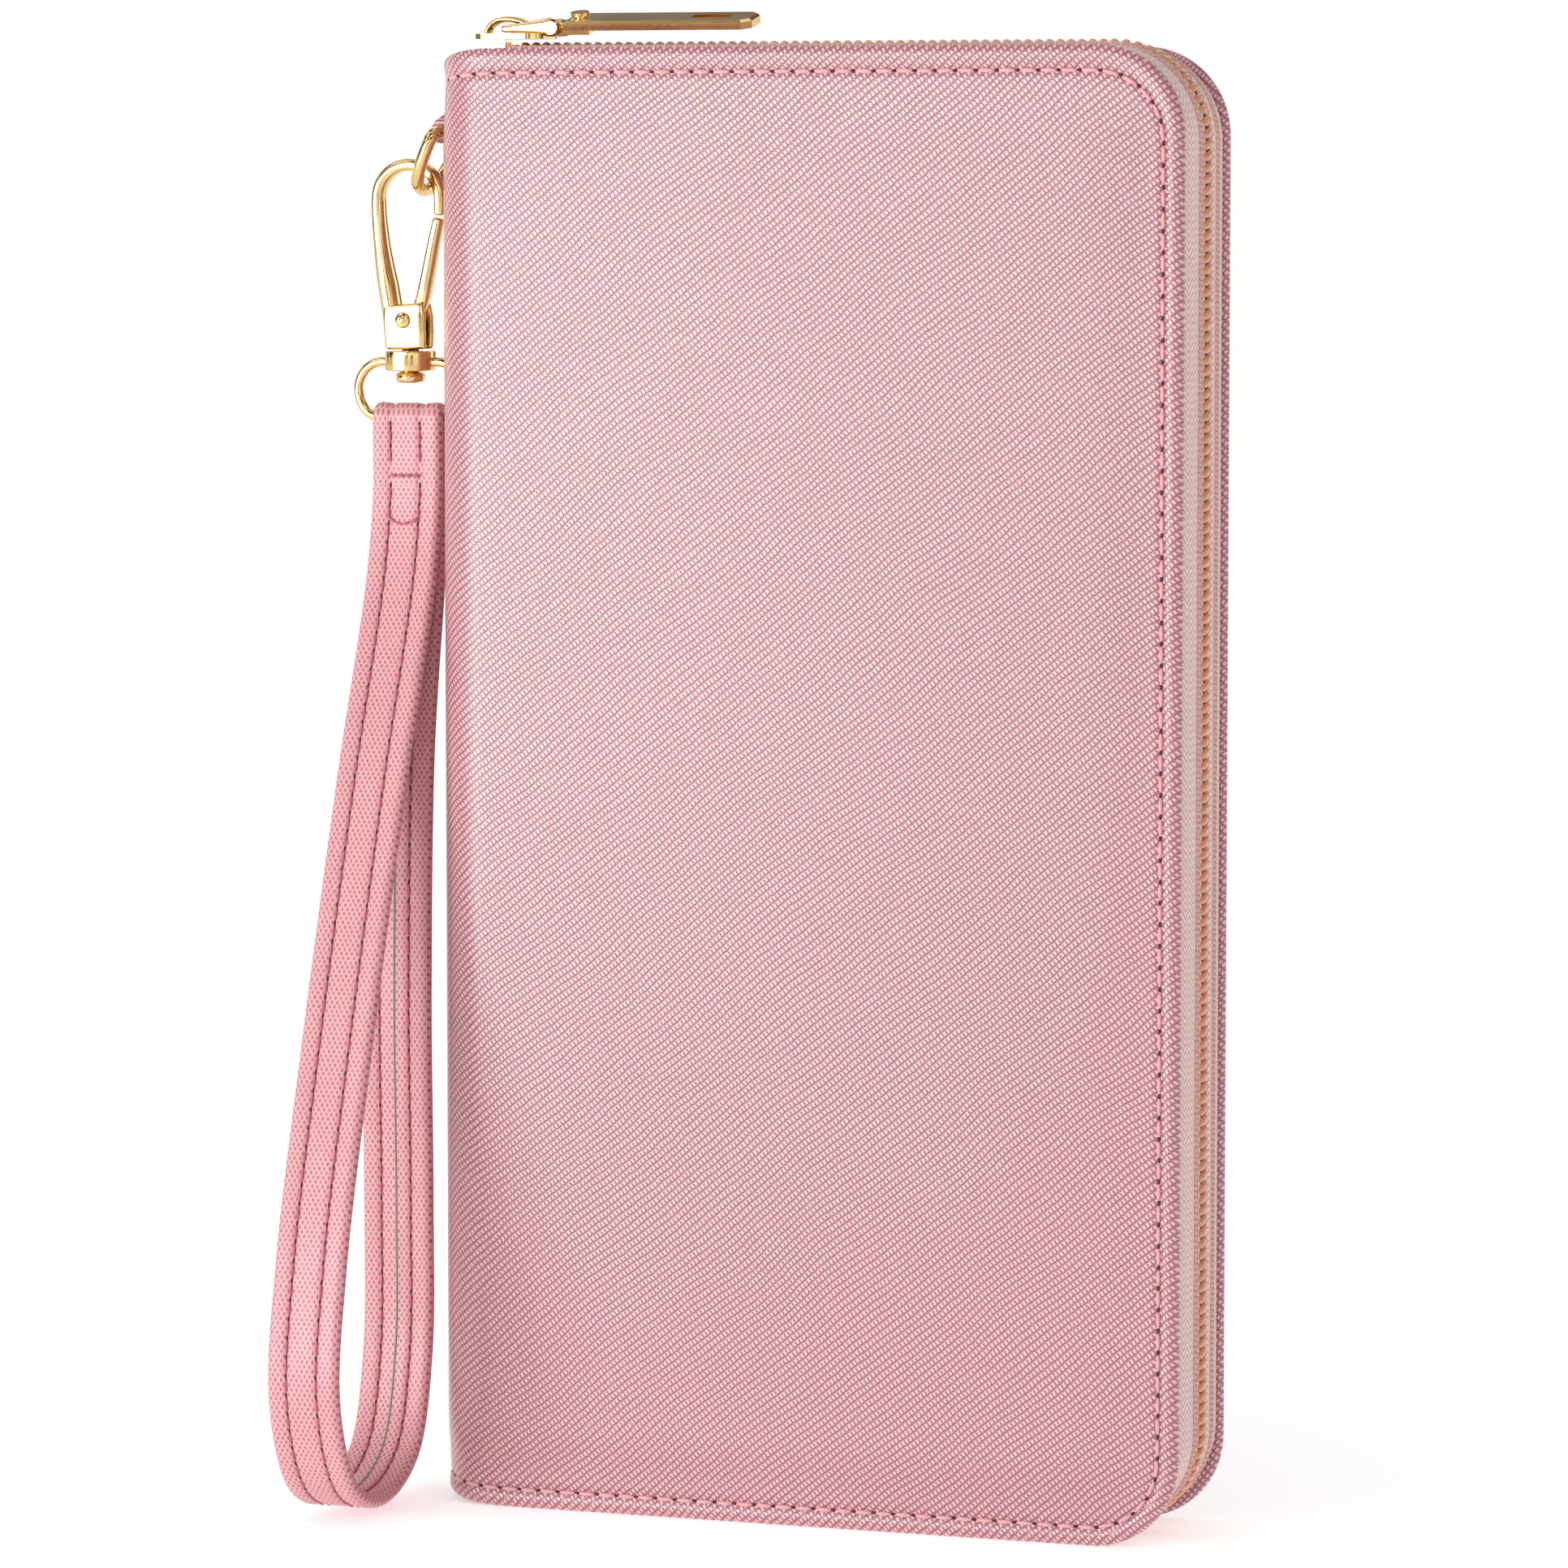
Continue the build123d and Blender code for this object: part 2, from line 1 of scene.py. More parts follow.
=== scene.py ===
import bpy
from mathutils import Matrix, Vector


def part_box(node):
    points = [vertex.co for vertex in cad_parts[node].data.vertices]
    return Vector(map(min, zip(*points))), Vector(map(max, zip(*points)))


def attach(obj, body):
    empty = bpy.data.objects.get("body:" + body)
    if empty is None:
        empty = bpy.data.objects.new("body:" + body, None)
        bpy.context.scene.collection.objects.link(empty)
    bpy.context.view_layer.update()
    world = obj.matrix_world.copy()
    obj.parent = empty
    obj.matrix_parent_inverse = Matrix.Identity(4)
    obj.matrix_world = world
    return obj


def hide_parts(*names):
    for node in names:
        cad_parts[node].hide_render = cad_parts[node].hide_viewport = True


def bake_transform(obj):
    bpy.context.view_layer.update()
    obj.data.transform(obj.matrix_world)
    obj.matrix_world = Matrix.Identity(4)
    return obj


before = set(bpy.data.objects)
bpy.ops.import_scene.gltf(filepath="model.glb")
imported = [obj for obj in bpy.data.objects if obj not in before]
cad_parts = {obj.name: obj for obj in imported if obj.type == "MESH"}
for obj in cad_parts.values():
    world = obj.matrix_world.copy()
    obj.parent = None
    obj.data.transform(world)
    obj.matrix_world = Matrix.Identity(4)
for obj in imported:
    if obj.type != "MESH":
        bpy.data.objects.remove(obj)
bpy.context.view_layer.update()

import math

import bmesh
import bpy
import numpy as np
from mathutils import Vector

# Lengths are in millimetres until a mesh is made
MM = 0.001


def corner(node, end):
    """The low (0) or high (1) corner of a CAD node's box."""
    return np.array(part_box(node)[end]) / MM


# Sizes read from the frame
WIDTH = corner("front_cover", 1)[0]
HEIGHT = corner("front_cover", 1)[2]
HALF_DEPTH = -corner("front_cover", 0)[1]
SIDE = corner("front_zip_tape", 1)[0]
TAPE_LOW = corner("front_zip_tape", 0)[2]
TAPE_HIGH = corner("front_zip_tape", 1)[2]
ZIP_LEFT = corner("front_zip_coil", 0)[0]
STRAP_LOW, STRAP_HIGH = corner("wrist_strap", 0), corner("wrist_strap", 1)

# Shape of the cover
CORNER_R = 12.0
BEND_R = 7.5
SPINE_HALF = HALF_DEPTH - BEND_R
BEND_LENGTH = BEND_R * math.pi / 2
LEATHER = 1.25
EDGE = 1.9
EDGE_ROLL = 0.95
DROOP = 1.9
DROOP_LENGTH = 24.0
STITCH_INSET = 2.6
STITCH_TOP_INSET = 3.4
STITCH_PITCH = 2.86
THREAD_R = 0.31
THREAD_BOW = 0.12
HOLE_HALF = 0.40

# Relief of the cover's face: a welt just inside the edge, the sewn groove and the padding inside the seam
WELT_HEIGHT, WELT_INSET, WELT_WIDTH = 0.16, 1.3, 0.8
GROOVE_DEPTH, GROOVE_WIDTH = 0.30, 0.42
PAD_HEIGHT, PAD_START, PAD_END = 0.30, 0.6, 9.0
THICK_EDGE = 4.0
SHARP_ANGLE = math.radians(50)

# How finely the cover is divided
EDGE_BAND, EDGE_STEP = 6.6, 0.3
FLAT_LINES, BEND_STEPS, SPINE_STEPS = 34, 16, 3
ARC_LINES = 31
SEAM_STEP = 0.12
SEAM_START = 0.8
SEAM_LIFT = 0.10

# Shape of the zip
COIL_PITCH = 1.5
COIL_R = 0.64
COIL_RISE = 0.78
COIL_LIFT = 0.22
COIL_STEP = 0.1
COIL_ROOT = 2.7
FRONT_UNDER, FRONT_REACH, BACK_REACH = 0.32, 0.2, 1.1
COIL_SWELL = [0.35, 0.75, 0.95, 1.0, 1.0, 1.0, 0.95, 0.75, 0.35]
COIL_DIP = [-0.5, -0.2, -0.04, 0.02, 0.03, 0.02, -0.02, -0.08, -0.2]
TAPE_STEP = 1.2
TAPE_THICK = 0.5
TAPE_SECTION = [(-6.5, -10.45), (-1.4, -10.45), (-0.6, -10.3), (0.2, -9.5), (0.75, -8.4), (1.05, -7.0),
                (1.25, -5.4), (1.34, -4.0), (1.36, -3.1), (1.28, -2.4), (1.05, -1.9), (0.40, -1.7)]
TAPE_ROWS = ((3.5, 1.33), (4.3, 1.32))
TAPE_STITCH_PITCH = 0.75
TAPE_STITCH_SLANT = 0.25

# Shape of the wrist strap: the loop's line in Y and Z, the sewn lines by their share of the width
STRAP_LINE = [
    (-1.0, 140.0), (-3.4, 128.0), (-14.5, 100.0), (-27.5, 64.0), (-36.5, 36.0), (-39.0, 18.0), (-33.0, 5.6),
    (-22.0, 2.3), (-11.0, 7.0), (-6.2, 20.0), (-5.6, 40.0), (-6.0, 70.0), (-4.4, 104.0), (-0.2, 128.0), (1.0, 140.0),
]
SLEEVE_TOP = 149.4
SLEEVE_R = 1.02
STITCH_ACROSS = (0.28, 0.70)
STRAP_PITCH = 2.6
OUTER_SEAM_TOP, INNER_SEAM_TOP = 148.6, 122.0
BOX_LOW, BOX_HIGH = 135.6, 141.4
BOX_SAG = -0.9

# How far the inner panels' faces wander
PANEL_WAVE = 0.06

# Places of the metal pieces in X and Z
HOOK_X = -7.8
GATE_PIN = (-8.2, 162.8)
RING_BAR = (-2.1, 188.6)
RING_FOOT = (-5.6, 180.7)

# Pitches of the leather's and cloth's patterns
RIB_ANGLE = math.radians(39)
RIB_PITCH = 0.88
BEAD_PITCH = 0.60
DOT_ACROSS = 0.76
DOT_ALONG = 1.24
CLOTH_PITCH = 0.5
ZIGZAG_WIDTH = 1.1
YARN_PITCH = 0.95
TWIST_PITCH = 0.32

# Studio, in metres, watts and degrees. SWEEP gives the height each side lamp aims at, and its power.
WORLD_LIGHT = 0.64
FLOOR_GLOW = 0.42
FLOOR_SIZE = 6000.0
FLOOR_DROP = 0.02
KEY_PLACE, KEY_AIM = (-0.39, -0.62, 0.14), (0.05, 0, 0.11)
KEY_SIZE, KEY_POWER = 0.32, 3.0
SWEEP = ((0.185, 24.0), (0.120, 19.0), (0.055, 18.0))
SWEEP_X, SWEEP_Y, SWEEP_RISE, SWEEP_AIM_X = -0.28, -0.9, 0.16, 0.030
SWEEP_ANGLE, SWEEP_SOFT = math.radians(13), 0.24
CAMERA_PLACE = (0.3657, -0.9031, 0.1835)
CAMERA_TURN = 19.44
CAMERA_TILT = 4.98
CAMERA_LENS = 161.85


# ---------- meshes


def make_object(name, verts, faces, material, uvs=None):
    """A smooth mesh with its faces turned outwards, from points in millimetres; uvs gives a pair for each point."""
    mesh = bpy.data.meshes.new(name)
    mesh.from_pydata([tuple(v) for v in np.asarray(verts) * MM], [], [tuple(f) for f in faces])
    shell = bmesh.new()
    shell.from_mesh(mesh)
    bmesh.ops.recalc_face_normals(shell, faces=shell.faces)
    if shell.calc_volume(signed=True) < 0:
        bmesh.ops.reverse_faces(shell, faces=shell.faces)
    shell.to_mesh(mesh)
    shell.free()
    if uvs is not None:
        layer = mesh.uv_layers.new(name="UVMap")
        loops = np.zeros(len(mesh.loops), int)
        mesh.loops.foreach_get("vertex_index", loops)
        layer.data.foreach_set("uv", np.asarray(uvs)[loops].astype(np.float32).ravel())
    mesh.validate()
    mesh.update()
    mesh.polygons.foreach_set("use_smooth", [True] * len(mesh.polygons))
    obj = bpy.data.objects.new(name, mesh)
    bpy.context.scene.collection.objects.link(obj)
    mesh.materials.append(material)
    return obj


def grid_faces(rows, columns, first=0, flip=False, wrap=False):
    """Quads over a grid of points laid out row by row."""
    faces = []
    for i in range(rows - 1):
        for j in range(columns if wrap else columns - 1):
            k = (j + 1) % columns
            a, b = first + i * columns + j, first + i * columns + k
            c, d = b + columns, a + columns
            faces.append((a, d, c, b) if flip else (a, b, c, d))
    return faces


def slab_faces(rows, columns, flip=False):
    """Faces of a slab: a grid of points, the same again behind it and the rim between them."""
    size = rows * columns
    faces = grid_faces(rows, columns, flip=flip) + grid_faces(rows, columns, first=size, flip=not flip)
    last = size - columns
    rim = list(range(columns)) + [i * columns + columns - 1 for i in range(1, rows)]
    rim += [last + j for j in range(columns - 2, -1, -1)] + [i * columns for i in range(rows - 2, 0, -1)]
    for a, b in zip(rim, rim[1:] + rim[:1]):
        quad = (a, a + size, b + size, b)
        faces.append(tuple(reversed(quad)) if flip else quad)
    return faces


def ring_faces(rows, columns):
    """Quads over rows of closed sections, the last row joined to the first."""
    faces = grid_faces(rows, columns, wrap=True)
    last = (rows - 1) * columns
    for j in range(columns):
        k = (j + 1) % columns
        faces.append((last + j, last + k, k, j))
    return faces


def end_caps(count, sides):
    """The two end faces of a tube of count points."""
    return [tuple(range(sides)), tuple(reversed(range(count - sides, count)))]


def lengths(points):
    """The distance run along a path up to each of its points."""
    return np.r_[0, np.cumsum(np.linalg.norm(np.diff(points, axis=0), axis=1))]


class Batch:
    """Many small closed pieces gathered in one mesh."""

    def __init__(self):
        self.verts, self.faces, self.count = [], [], 0

    def add(self, verts, faces):
        self.verts.append(np.asarray(verts, float))
        self.faces += [tuple(i + self.count for i in f) for f in faces]
        self.count += len(verts)

    def make(self, name, material):
        return make_object(name, np.vstack(self.verts), self.faces, material)


def tube(points, radii, sides=8, flat=1.0, up=(0, 0, 1)):
    """A closed tube along points. flat squeezes it along the up direction."""
    points = np.asarray(points, float)
    radii = np.broadcast_to(radii, len(points))
    along = np.gradient(points, axis=0)
    along /= np.linalg.norm(along, axis=1)[:, None]
    up = np.asarray(up, float)
    across = np.cross(along, up)
    across /= np.linalg.norm(across, axis=1)[:, None]
    high = np.cross(across, along)
    angles = np.arange(sides) * 2 * math.pi / sides
    verts = []
    for p, a, h, r in zip(points, across, high, radii):
        for t in angles:
            verts.append(p + r * (math.cos(t) * a + flat * math.sin(t) * h))
    return verts, grid_faces(len(points), sides, wrap=True) + end_caps(len(verts), sides)


def capsule(start, end, radius, bow=0.0, up=(0, 0, 1), steps=7, sides=8, flat=1.0):
    """A round-ended thread between two points, lifted by bow in its middle."""
    start, end, up = (np.asarray(p, float) for p in (start, end, up))
    ts = np.linspace(0, 1, steps)
    points = [start + (end - start) * t + up * bow * math.sin(math.pi * t) for t in ts]
    radii = [radius * max(0.25, math.sin(math.pi * min(max(t, 0.06), 0.94)) ** 0.4) for t in ts]
    return tube(points, radii, sides, flat, up)


# ---------- materials


class Nodes:
    """Short forms for building a node tree."""

    def __init__(self, name):
        self.material = bpy.data.materials.new(name)
        self.material.use_nodes = True
        self.tree = self.material.node_tree
        self.shader = self.tree.nodes["Principled BSDF"]

    def add(self, kind, **settings):
        node = self.tree.nodes.new(kind)
        for key, value in settings.items():
            setattr(node, key, value)
        return node

    def link(self, source, target):
        if isinstance(source, bpy.types.NodeSocket):
            self.tree.links.new(source, target)
        else:
            target.default_value = source

    def math(self, operation, a, b=None, c=None):
        node = self.add("ShaderNodeMath", operation=operation)
        for socket, value in zip(node.inputs, (a, b, c)):
            if value is not None:
                self.link(value, socket)
        return node.outputs[0]

    def plus(self, a, b):
        return self.math("ADD", a, b)

    def minus(self, a, b):
        return self.math("SUBTRACT", a, b)

    def times(self, a, b):
        return self.math("MULTIPLY", a, b)

    def coords(self, kind="UV"):
        return self.add("ShaderNodeTexCoord").outputs[kind]

    def split(self, vector):
        node = self.add("ShaderNodeSeparateXYZ")
        self.link(vector, node.inputs[0])
        return node.outputs

    def noise(self, vector, scale, detail=2.0):
        node = self.add("ShaderNodeTexNoise")
        self.link(vector, node.inputs["Vector"])
        node.inputs["Scale"].default_value = scale
        node.inputs["Detail"].default_value = detail
        return node.outputs["Fac"]

    def wave(self, value, low=0.0, high=1.0):
        """A cosine of a value counted in whole turns, between low and high."""
        turn = self.times(value, 2 * math.pi)
        wave = self.math("COSINE", turn)
        return self.math("MULTIPLY_ADD", wave, (high - low) / 2, (high + low) / 2)

    def mix(self, factor, a, b):
        node = self.add("ShaderNodeMix", data_type="RGBA")
        self.link(factor, node.inputs["Factor"])
        self.link(a if not isinstance(a, tuple) else (*a, 1), node.inputs[6])
        self.link(b if not isinstance(b, tuple) else (*b, 1), node.inputs[7])
        return node.outputs[2]

    def bump(self, height, distance, strength):
        node = self.add("ShaderNodeBump")
        self.link(height, node.inputs["Height"])
        node.inputs["Distance"].default_value = distance
        node.inputs["Strength"].default_value = strength
        return node.outputs["Normal"]

    def finish(self, color, rough, normal=None, **values):
        """Wires up the shader. Any other value is named after its socket, with _ for each space."""
        self.link(color, self.shader.inputs["Base Color"])
        self.link(rough, self.shader.inputs["Roughness"])
        if normal is not None:
            self.link(normal, self.shader.inputs["Normal"])
        for key, value in values.items():
            self.shader.inputs[key.replace("_", " ")].default_value = value
        return self.material


def srgb(r, g, b):
    """A linear colour from one given in 0 to 255."""
    return tuple(((c / 255 + 0.055) / 1.055) ** 2.4 if c > 10 else c / 255 / 12.92 for c in (r, g, b))


def saffiano():
    """Pink leather pressed with slanting ribs of beads, with painted shade in the grooves between the beads. Its UVs
    are in metres.
    """
    n = Nodes("saffiano_leather")
    uv = n.coords()
    x, y, _ = n.split(uv)
    x, y = n.times(x, 1 / MM), n.times(y, 1 / MM)
    drift = n.times(n.minus(n.noise(uv, 42.0, 1.0), 0.5), 2.6)
    slip = n.times(n.minus(n.noise(uv, 420.0, 1.0), 0.5), 0.4)
    c, s = math.cos(RIB_ANGLE), math.sin(RIB_ANGLE)
    across = n.plus(n.times(x, -s / RIB_PITCH), n.times(y, c / RIB_PITCH))
    along = n.plus(n.times(x, c / BEAD_PITCH), n.times(y, s / BEAD_PITCH))
    across = n.plus(n.plus(across, drift), slip)
    along = n.plus(along, n.times(slip, 0.8))
    rib = n.minus(1.0, n.math("POWER", n.wave(across, 1.0, 0.0), 3.6))
    bead = n.minus(1.0, n.times(n.math("POWER", n.wave(along, 1.0, 0.0), 4.0), 0.80))
    height = n.times(rib, bead)
    fine = n.noise(uv, 4200.0, 2.0)
    patch = n.noise(uv, 28.0, 2.0)
    # The colour follows the relief: the dark valley colour is painted shade in the pressed grooves, the top colour is
    # the leather's own pink, and the patch and fine noise are random tone.
    top = n.mix(patch, srgb(232, 166, 173), srgb(238, 176, 182))
    painted_valley_shade = n.mix(patch, srgb(128, 46, 66), srgb(140, 56, 74))
    shade = n.math("MULTIPLY_ADD", fine, 0.3, n.times(height, 0.85))
    color = n.mix(shade, painted_valley_shade, top)
    rough = n.math("MULTIPLY_ADD", height, -0.14, 0.46)
    relief_height = n.plus(height, n.times(fine, 0.10))
    n.link(n.bump(relief_height, 0.00003, 1.0), n.shader.inputs["Coat Normal"])
    return n.finish(
        color, rough, n.bump(relief_height, 0.00032, 1.0), Coat_Weight=0.9, Coat_Roughness=0.32, Coat_IOR=1.7
    )


def strap_leather():
    """Pink leather netted with fine ridges round staggered dots. Its UVs are in metres, across and along."""
    n = Nodes("strap_leather")
    uv = n.coords()
    x, y, _ = n.split(uv)
    slip = n.times(n.minus(n.noise(uv, 600.0, 1.0), 0.5), 0.45)
    x = n.plus(n.times(x, 1 / MM / DOT_ACROSS), slip)
    y = n.times(y, 1 / MM / DOT_ALONG)
    dots = n.times(n.wave(n.plus(x, y)), n.wave(n.minus(x, y)))
    vary = n.noise(uv, 1100.0, 1.0)
    spot = n.add("ShaderNodeMapRange", interpolation_type="SMOOTHSTEP")
    n.link(dots, spot.inputs["Value"])
    spot.inputs["From Min"].default_value, spot.inputs["From Max"].default_value = 0.22, 0.62
    spot = spot.outputs["Result"]
    patch = n.noise(uv, 90.0, 2.0)
    ground = n.mix(patch, srgb(220, 164, 166), srgb(208, 148, 153))
    color = n.mix(n.times(spot, n.math("MULTIPLY_ADD", vary, 0.9, 0.3)), ground, srgb(176, 80, 96))
    height = n.plus(n.minus(1.0, spot), n.times(n.noise(uv, 4800.0, 2.0), 0.2))
    return n.finish(color, 0.5, n.bump(height, 0.00014, 0.8), Coat_Weight=0.3, Coat_Roughness=0.36)


def smooth_leather(name, color, dark):
    """Plain lining leather with a soft pebble."""
    n = Nodes(name)
    at = n.coords("Object")
    pebble = n.noise(at, 1500.0, 3.0)
    patch = n.noise(at, 40.0, 2.0)
    mixed = n.mix(n.times(pebble, patch), color, dark)
    return n.finish(mixed, n.math("MULTIPLY_ADD", pebble, 0.2, 0.4), n.bump(pebble, 0.0001, 0.6))


def woven(name, light, dark):
    """A woven lining cloth, laid out in the plane across Y."""
    n = Nodes(name)
    x, _, z = n.split(n.coords("Object"))
    a, b = n.times(x, 1 / MM / CLOTH_PITCH), n.times(z, 1 / MM / CLOTH_PITCH)
    weave = n.times(n.wave(n.plus(a, b)), n.wave(n.minus(a, b)))
    color = n.mix(weave, dark, light)
    return n.finish(color, 0.8, n.bump(weave, 0.00008, 0.6), Sheen_Weight=0.15)


def herringbone():
    """Zip tape cloth, with painted shade where the weave dips. U runs across the tape and V along it, in metres."""
    n = Nodes("zip_tape_cloth")
    uv = n.coords()
    u, v, _ = n.split(uv)
    u, v = n.times(u, 1 / MM), n.times(v, 1 / MM)
    zigzag = n.math("PINGPONG", u, ZIGZAG_WIDTH)
    yarn = n.wave(n.times(n.plus(v, n.times(zigzag, 1.2)), 1 / YARN_PITCH))
    column = n.wave(n.times(u, 1 / ZIGZAG_WIDTH), 0.65, 1.0)
    height = n.plus(n.times(yarn, column), n.times(n.noise(uv, 2600.0, 2.0), 0.35))
    # The colour follows the weave's height: the darker pink where the yarn dips is painted shade, the cream where it
    # rises is the tape's own colour.
    color = n.mix(height, srgb(216, 158, 154), srgb(255, 236, 228))
    return n.finish(color, 0.78, n.bump(height, 0.00022, 0.9), Sheen_Weight=0.15)


def nylon():
    """Translucent peach nylon of the coil."""
    n = Nodes("coil_nylon")
    at = n.coords("Object")
    tint = n.noise(at, 900.0, 2.0)
    color = n.mix(tint, srgb(208, 136, 100), srgb(226, 162, 126))
    return n.finish(
        color,
        n.math("MULTIPLY_ADD", tint, 0.1, 0.2),
        n.bump(tint, 0.00003, 0.4),
        Subsurface_Weight=0.35,
        Subsurface_Radius=(0.002, 0.0012, 0.0008),
        Subsurface_Scale=0.5,
        Coat_Weight=0.2,
    )


def thread(name, light, dark):
    """Twisted sewing thread."""
    n = Nodes(name)
    at = n.coords("Object")
    x, y, z = n.split(at)
    twist = n.wave(n.times(n.plus(n.plus(x, y), z), 1 / MM / TWIST_PITCH))
    fuzz = n.noise(at, 6000.0, 2.0)
    color = n.mix(n.times(twist, fuzz), dark, light)
    return n.finish(color, 0.6, n.bump(twist, 0.00005, 0.5), Sheen_Weight=0.2)


def hole():
    """Painted shade: a dark colour for the inside of a needle hole."""
    n = Nodes("needle_hole_shade")
    at = n.coords("Object")
    return n.finish(n.mix(n.noise(at, 3000.0), srgb(60, 22, 30), srgb(92, 40, 50)), 0.9)


def gold():
    """Polished pale gold plating with faint hairlines and handling haze."""
    n = Nodes("gold_plate")
    at = n.coords("Object")
    haze = n.noise(at, 160.0, 3.0)
    hair = n.noise(at, 3500.0, 2.0)
    color = n.mix(haze, srgb(218, 182, 116), srgb(236, 204, 146))
    roughness = n.math("MULTIPLY_ADD", haze, 0.10, 0.08)
    return n.finish(color, roughness, n.bump(hair, 0.00001, 0.35), Metallic=1.0)


def board():
    """Pressed fibre board."""
    n = Nodes("fibre_board")
    at = n.coords("Object")
    return n.finish(n.mix(n.noise(at, 700.0, 4.0), srgb(176, 160, 138), srgb(208, 194, 172)), 0.85)


# ---------- cover leather


def smooth_step(low, high, value):
    """An eased climb from 0 at low to 1 at high."""
    t = np.clip((value - low) / (high - low), 0, 1)
    return t * t * (3 - 2 * t)


def profile(s):
    """Plan position and outward direction at a distance s along the leather from the spine's middle."""
    if s < SPINE_HALF:
        return np.array([0.0, -s]), np.array([-1.0, 0.0])
    if s < SPINE_HALF + BEND_LENGTH:
        a = (s - SPINE_HALF) / BEND_R
        out = np.array([-math.cos(a), -math.sin(a)])
        return np.array([BEND_R, -SPINE_HALF]) + BEND_R * out, out
    return np.array([BEND_R + s - SPINE_HALF - BEND_LENGTH, -HALF_DEPTH]), np.array([0.0, -1.0])


FLAT_SHIFT = SPINE_HALF + BEND_LENGTH - BEND_R


def droop(s):
    """How far the cover's ends pull in towards the spine."""
    return DROOP * (1 - smooth_step(0, DROOP_LENGTH, s)) ** 2


def inside_distance(x, z, right, low, high, radius):
    """Distance in from an outline that has two round corners on its right, where x is the unrolled distance."""
    d = min(z - low, high - z, right - x)
    for edge, sign in ((high, 1), (low, -1)):
        cx, cz = right - radius, edge - sign * radius
        if x > cx and (z - cz) * sign > 0:
            d = min(d, radius - math.hypot(x - cx, z - cz))
    return d


def relief(s, z):
    """Height of the leather's outer face over its plane, and the distance in from its edge."""
    x, dip = s - FLAT_SHIFT, droop(s)
    edge = max(inside_distance(x, z, WIDTH, dip, HEIGHT - dip, CORNER_R), 0.0)
    seam = inside_distance(
        x, z, WIDTH - STITCH_INSET, dip + STITCH_INSET, HEIGHT - dip - STITCH_TOP_INSET, CORNER_R - STITCH_INSET
    )
    rolled = 1 - min(edge / EDGE_ROLL, 1)
    height = -EDGE_ROLL * (1 - math.sqrt(1 - rolled**2 * 0.98))
    height += WELT_HEIGHT * math.exp(-(((edge - WELT_INSET) / WELT_WIDTH) ** 2))
    height -= GROOVE_DEPTH * math.exp(-((seam / GROOVE_WIDTH) ** 2))
    height += PAD_HEIGHT * float(smooth_step(PAD_START, PAD_END, seam))
    return height, edge


def cover_columns():
    """Distances in from the zip edge, along the leather, to the spine's middle."""
    flat = WIDTH - BEND_R
    fine = list(np.arange(0, EDGE_BAND, EDGE_STEP))
    wide = list(np.linspace(EDGE_BAND, flat, FLAT_LINES))[1:]
    bend = [flat + BEND_LENGTH * i / BEND_STEPS for i in range(1, BEND_STEPS + 1)]
    spine = [flat + BEND_LENGTH + SPINE_HALF * i / SPINE_STEPS for i in range(1, SPINE_STEPS + 1)]
    return fine + wide + bend + spine


def cover_rows():
    """Heights of the cover's rows, closer together beside the round corners."""
    arc = [CORNER_R * (1 - math.cos(math.radians(a))) for a in np.linspace(0, 90, ARC_LINES)]
    middle = list(np.linspace(CORNER_R, HEIGHT / 2, FLAT_LINES))[1:]
    low = arc + middle
    return low + [HEIGHT - z for z in reversed(low[:-1])]


def right_edge(z):
    """How far right the outline reaches at this height."""
    into = max(CORNER_R - z, z - (HEIGHT - CORNER_R), 0)
    return WIDTH - CORNER_R + math.sqrt(max(CORNER_R**2 - into**2, 0))


def leather_half(sign, material):
    """One half of the cover leather from the middle of the spine to the zip edge. sign is 1 at the front."""
    columns, rows = cover_columns(), cover_rows()
    full = SPINE_HALF + BEND_LENGTH + WIDTH - BEND_R
    outer, inner, uvs = [], [], []
    for z0 in rows:
        reach = right_edge(z0) + FLAT_SHIFT
        for c in columns:
            if c <= EDGE_BAND:
                s = reach - c
            else:
                s = (full - c) * (reach - EDGE_BAND) / (full - EDGE_BAND)
            dip = droop(s)
            z = dip + z0 * (HEIGHT - 2 * dip) / HEIGHT
            at, out = profile(s)
            height, edge = relief(s, z)
            thick = EDGE if edge < THICK_EDGE else LEATHER
            roll = EDGE_ROLL * 0.5 * max(0, 1 - edge / (EDGE_ROLL * 0.6)) ** 2
            high, low = at + out * height, at + out * (-thick + roll)
            outer.append((high[0], high[1] * sign, z))
            inner.append((low[0], low[1] * sign, z))
            uvs.append((s * MM * sign, z * MM))
    faces = slab_faces(len(rows), len(columns), flip=sign < 0)
    name = "front_leather" if sign > 0 else "back_leather"
    half = make_object(name, outer + inner, faces, material, uvs + uvs)
    half.data.set_sharp_from_angle(angle=SHARP_ANGLE)
    return half


def seam_path(sign):
    """Points along the seam round one half, from spine to spine, each with its outward direction."""
    inset, top = STITCH_INSET, HEIGHT - STITCH_TOP_INSET
    radius = CORNER_R - inset
    full = SPINE_HALF + BEND_LENGTH + WIDTH - BEND_R - inset
    turns = [math.radians(a) for a in np.arange(0, 90, math.degrees(SEAM_STEP / radius))]
    points = []
    for s in np.arange(SEAM_START, full - radius, SEAM_STEP):
        points.append((s, HEIGHT - droop(s) - STITCH_TOP_INSET))
    for t in turns:
        points.append((full - radius + radius * math.sin(t), top - radius + radius * math.cos(t)))
    for z in np.arange(top - radius, inset + radius, -SEAM_STEP):
        points.append((full, z))
    for t in turns:
        points.append((full - radius + radius * math.cos(t), inset + radius - radius * math.sin(t)))
    for s in np.arange(full - radius, SEAM_START, -SEAM_STEP):
        points.append((s, inset + droop(s)))
    placed, outs = [], []
    for s, z in points:
        at, out = profile(s)
        height, _ = relief(s, z)
        at = at + out * (height + SEAM_LIFT)
        placed.append((at[0], at[1] * sign, z))
        outs.append((out[0], out[1] * sign, 0))
    return np.array(placed), np.array(outs)


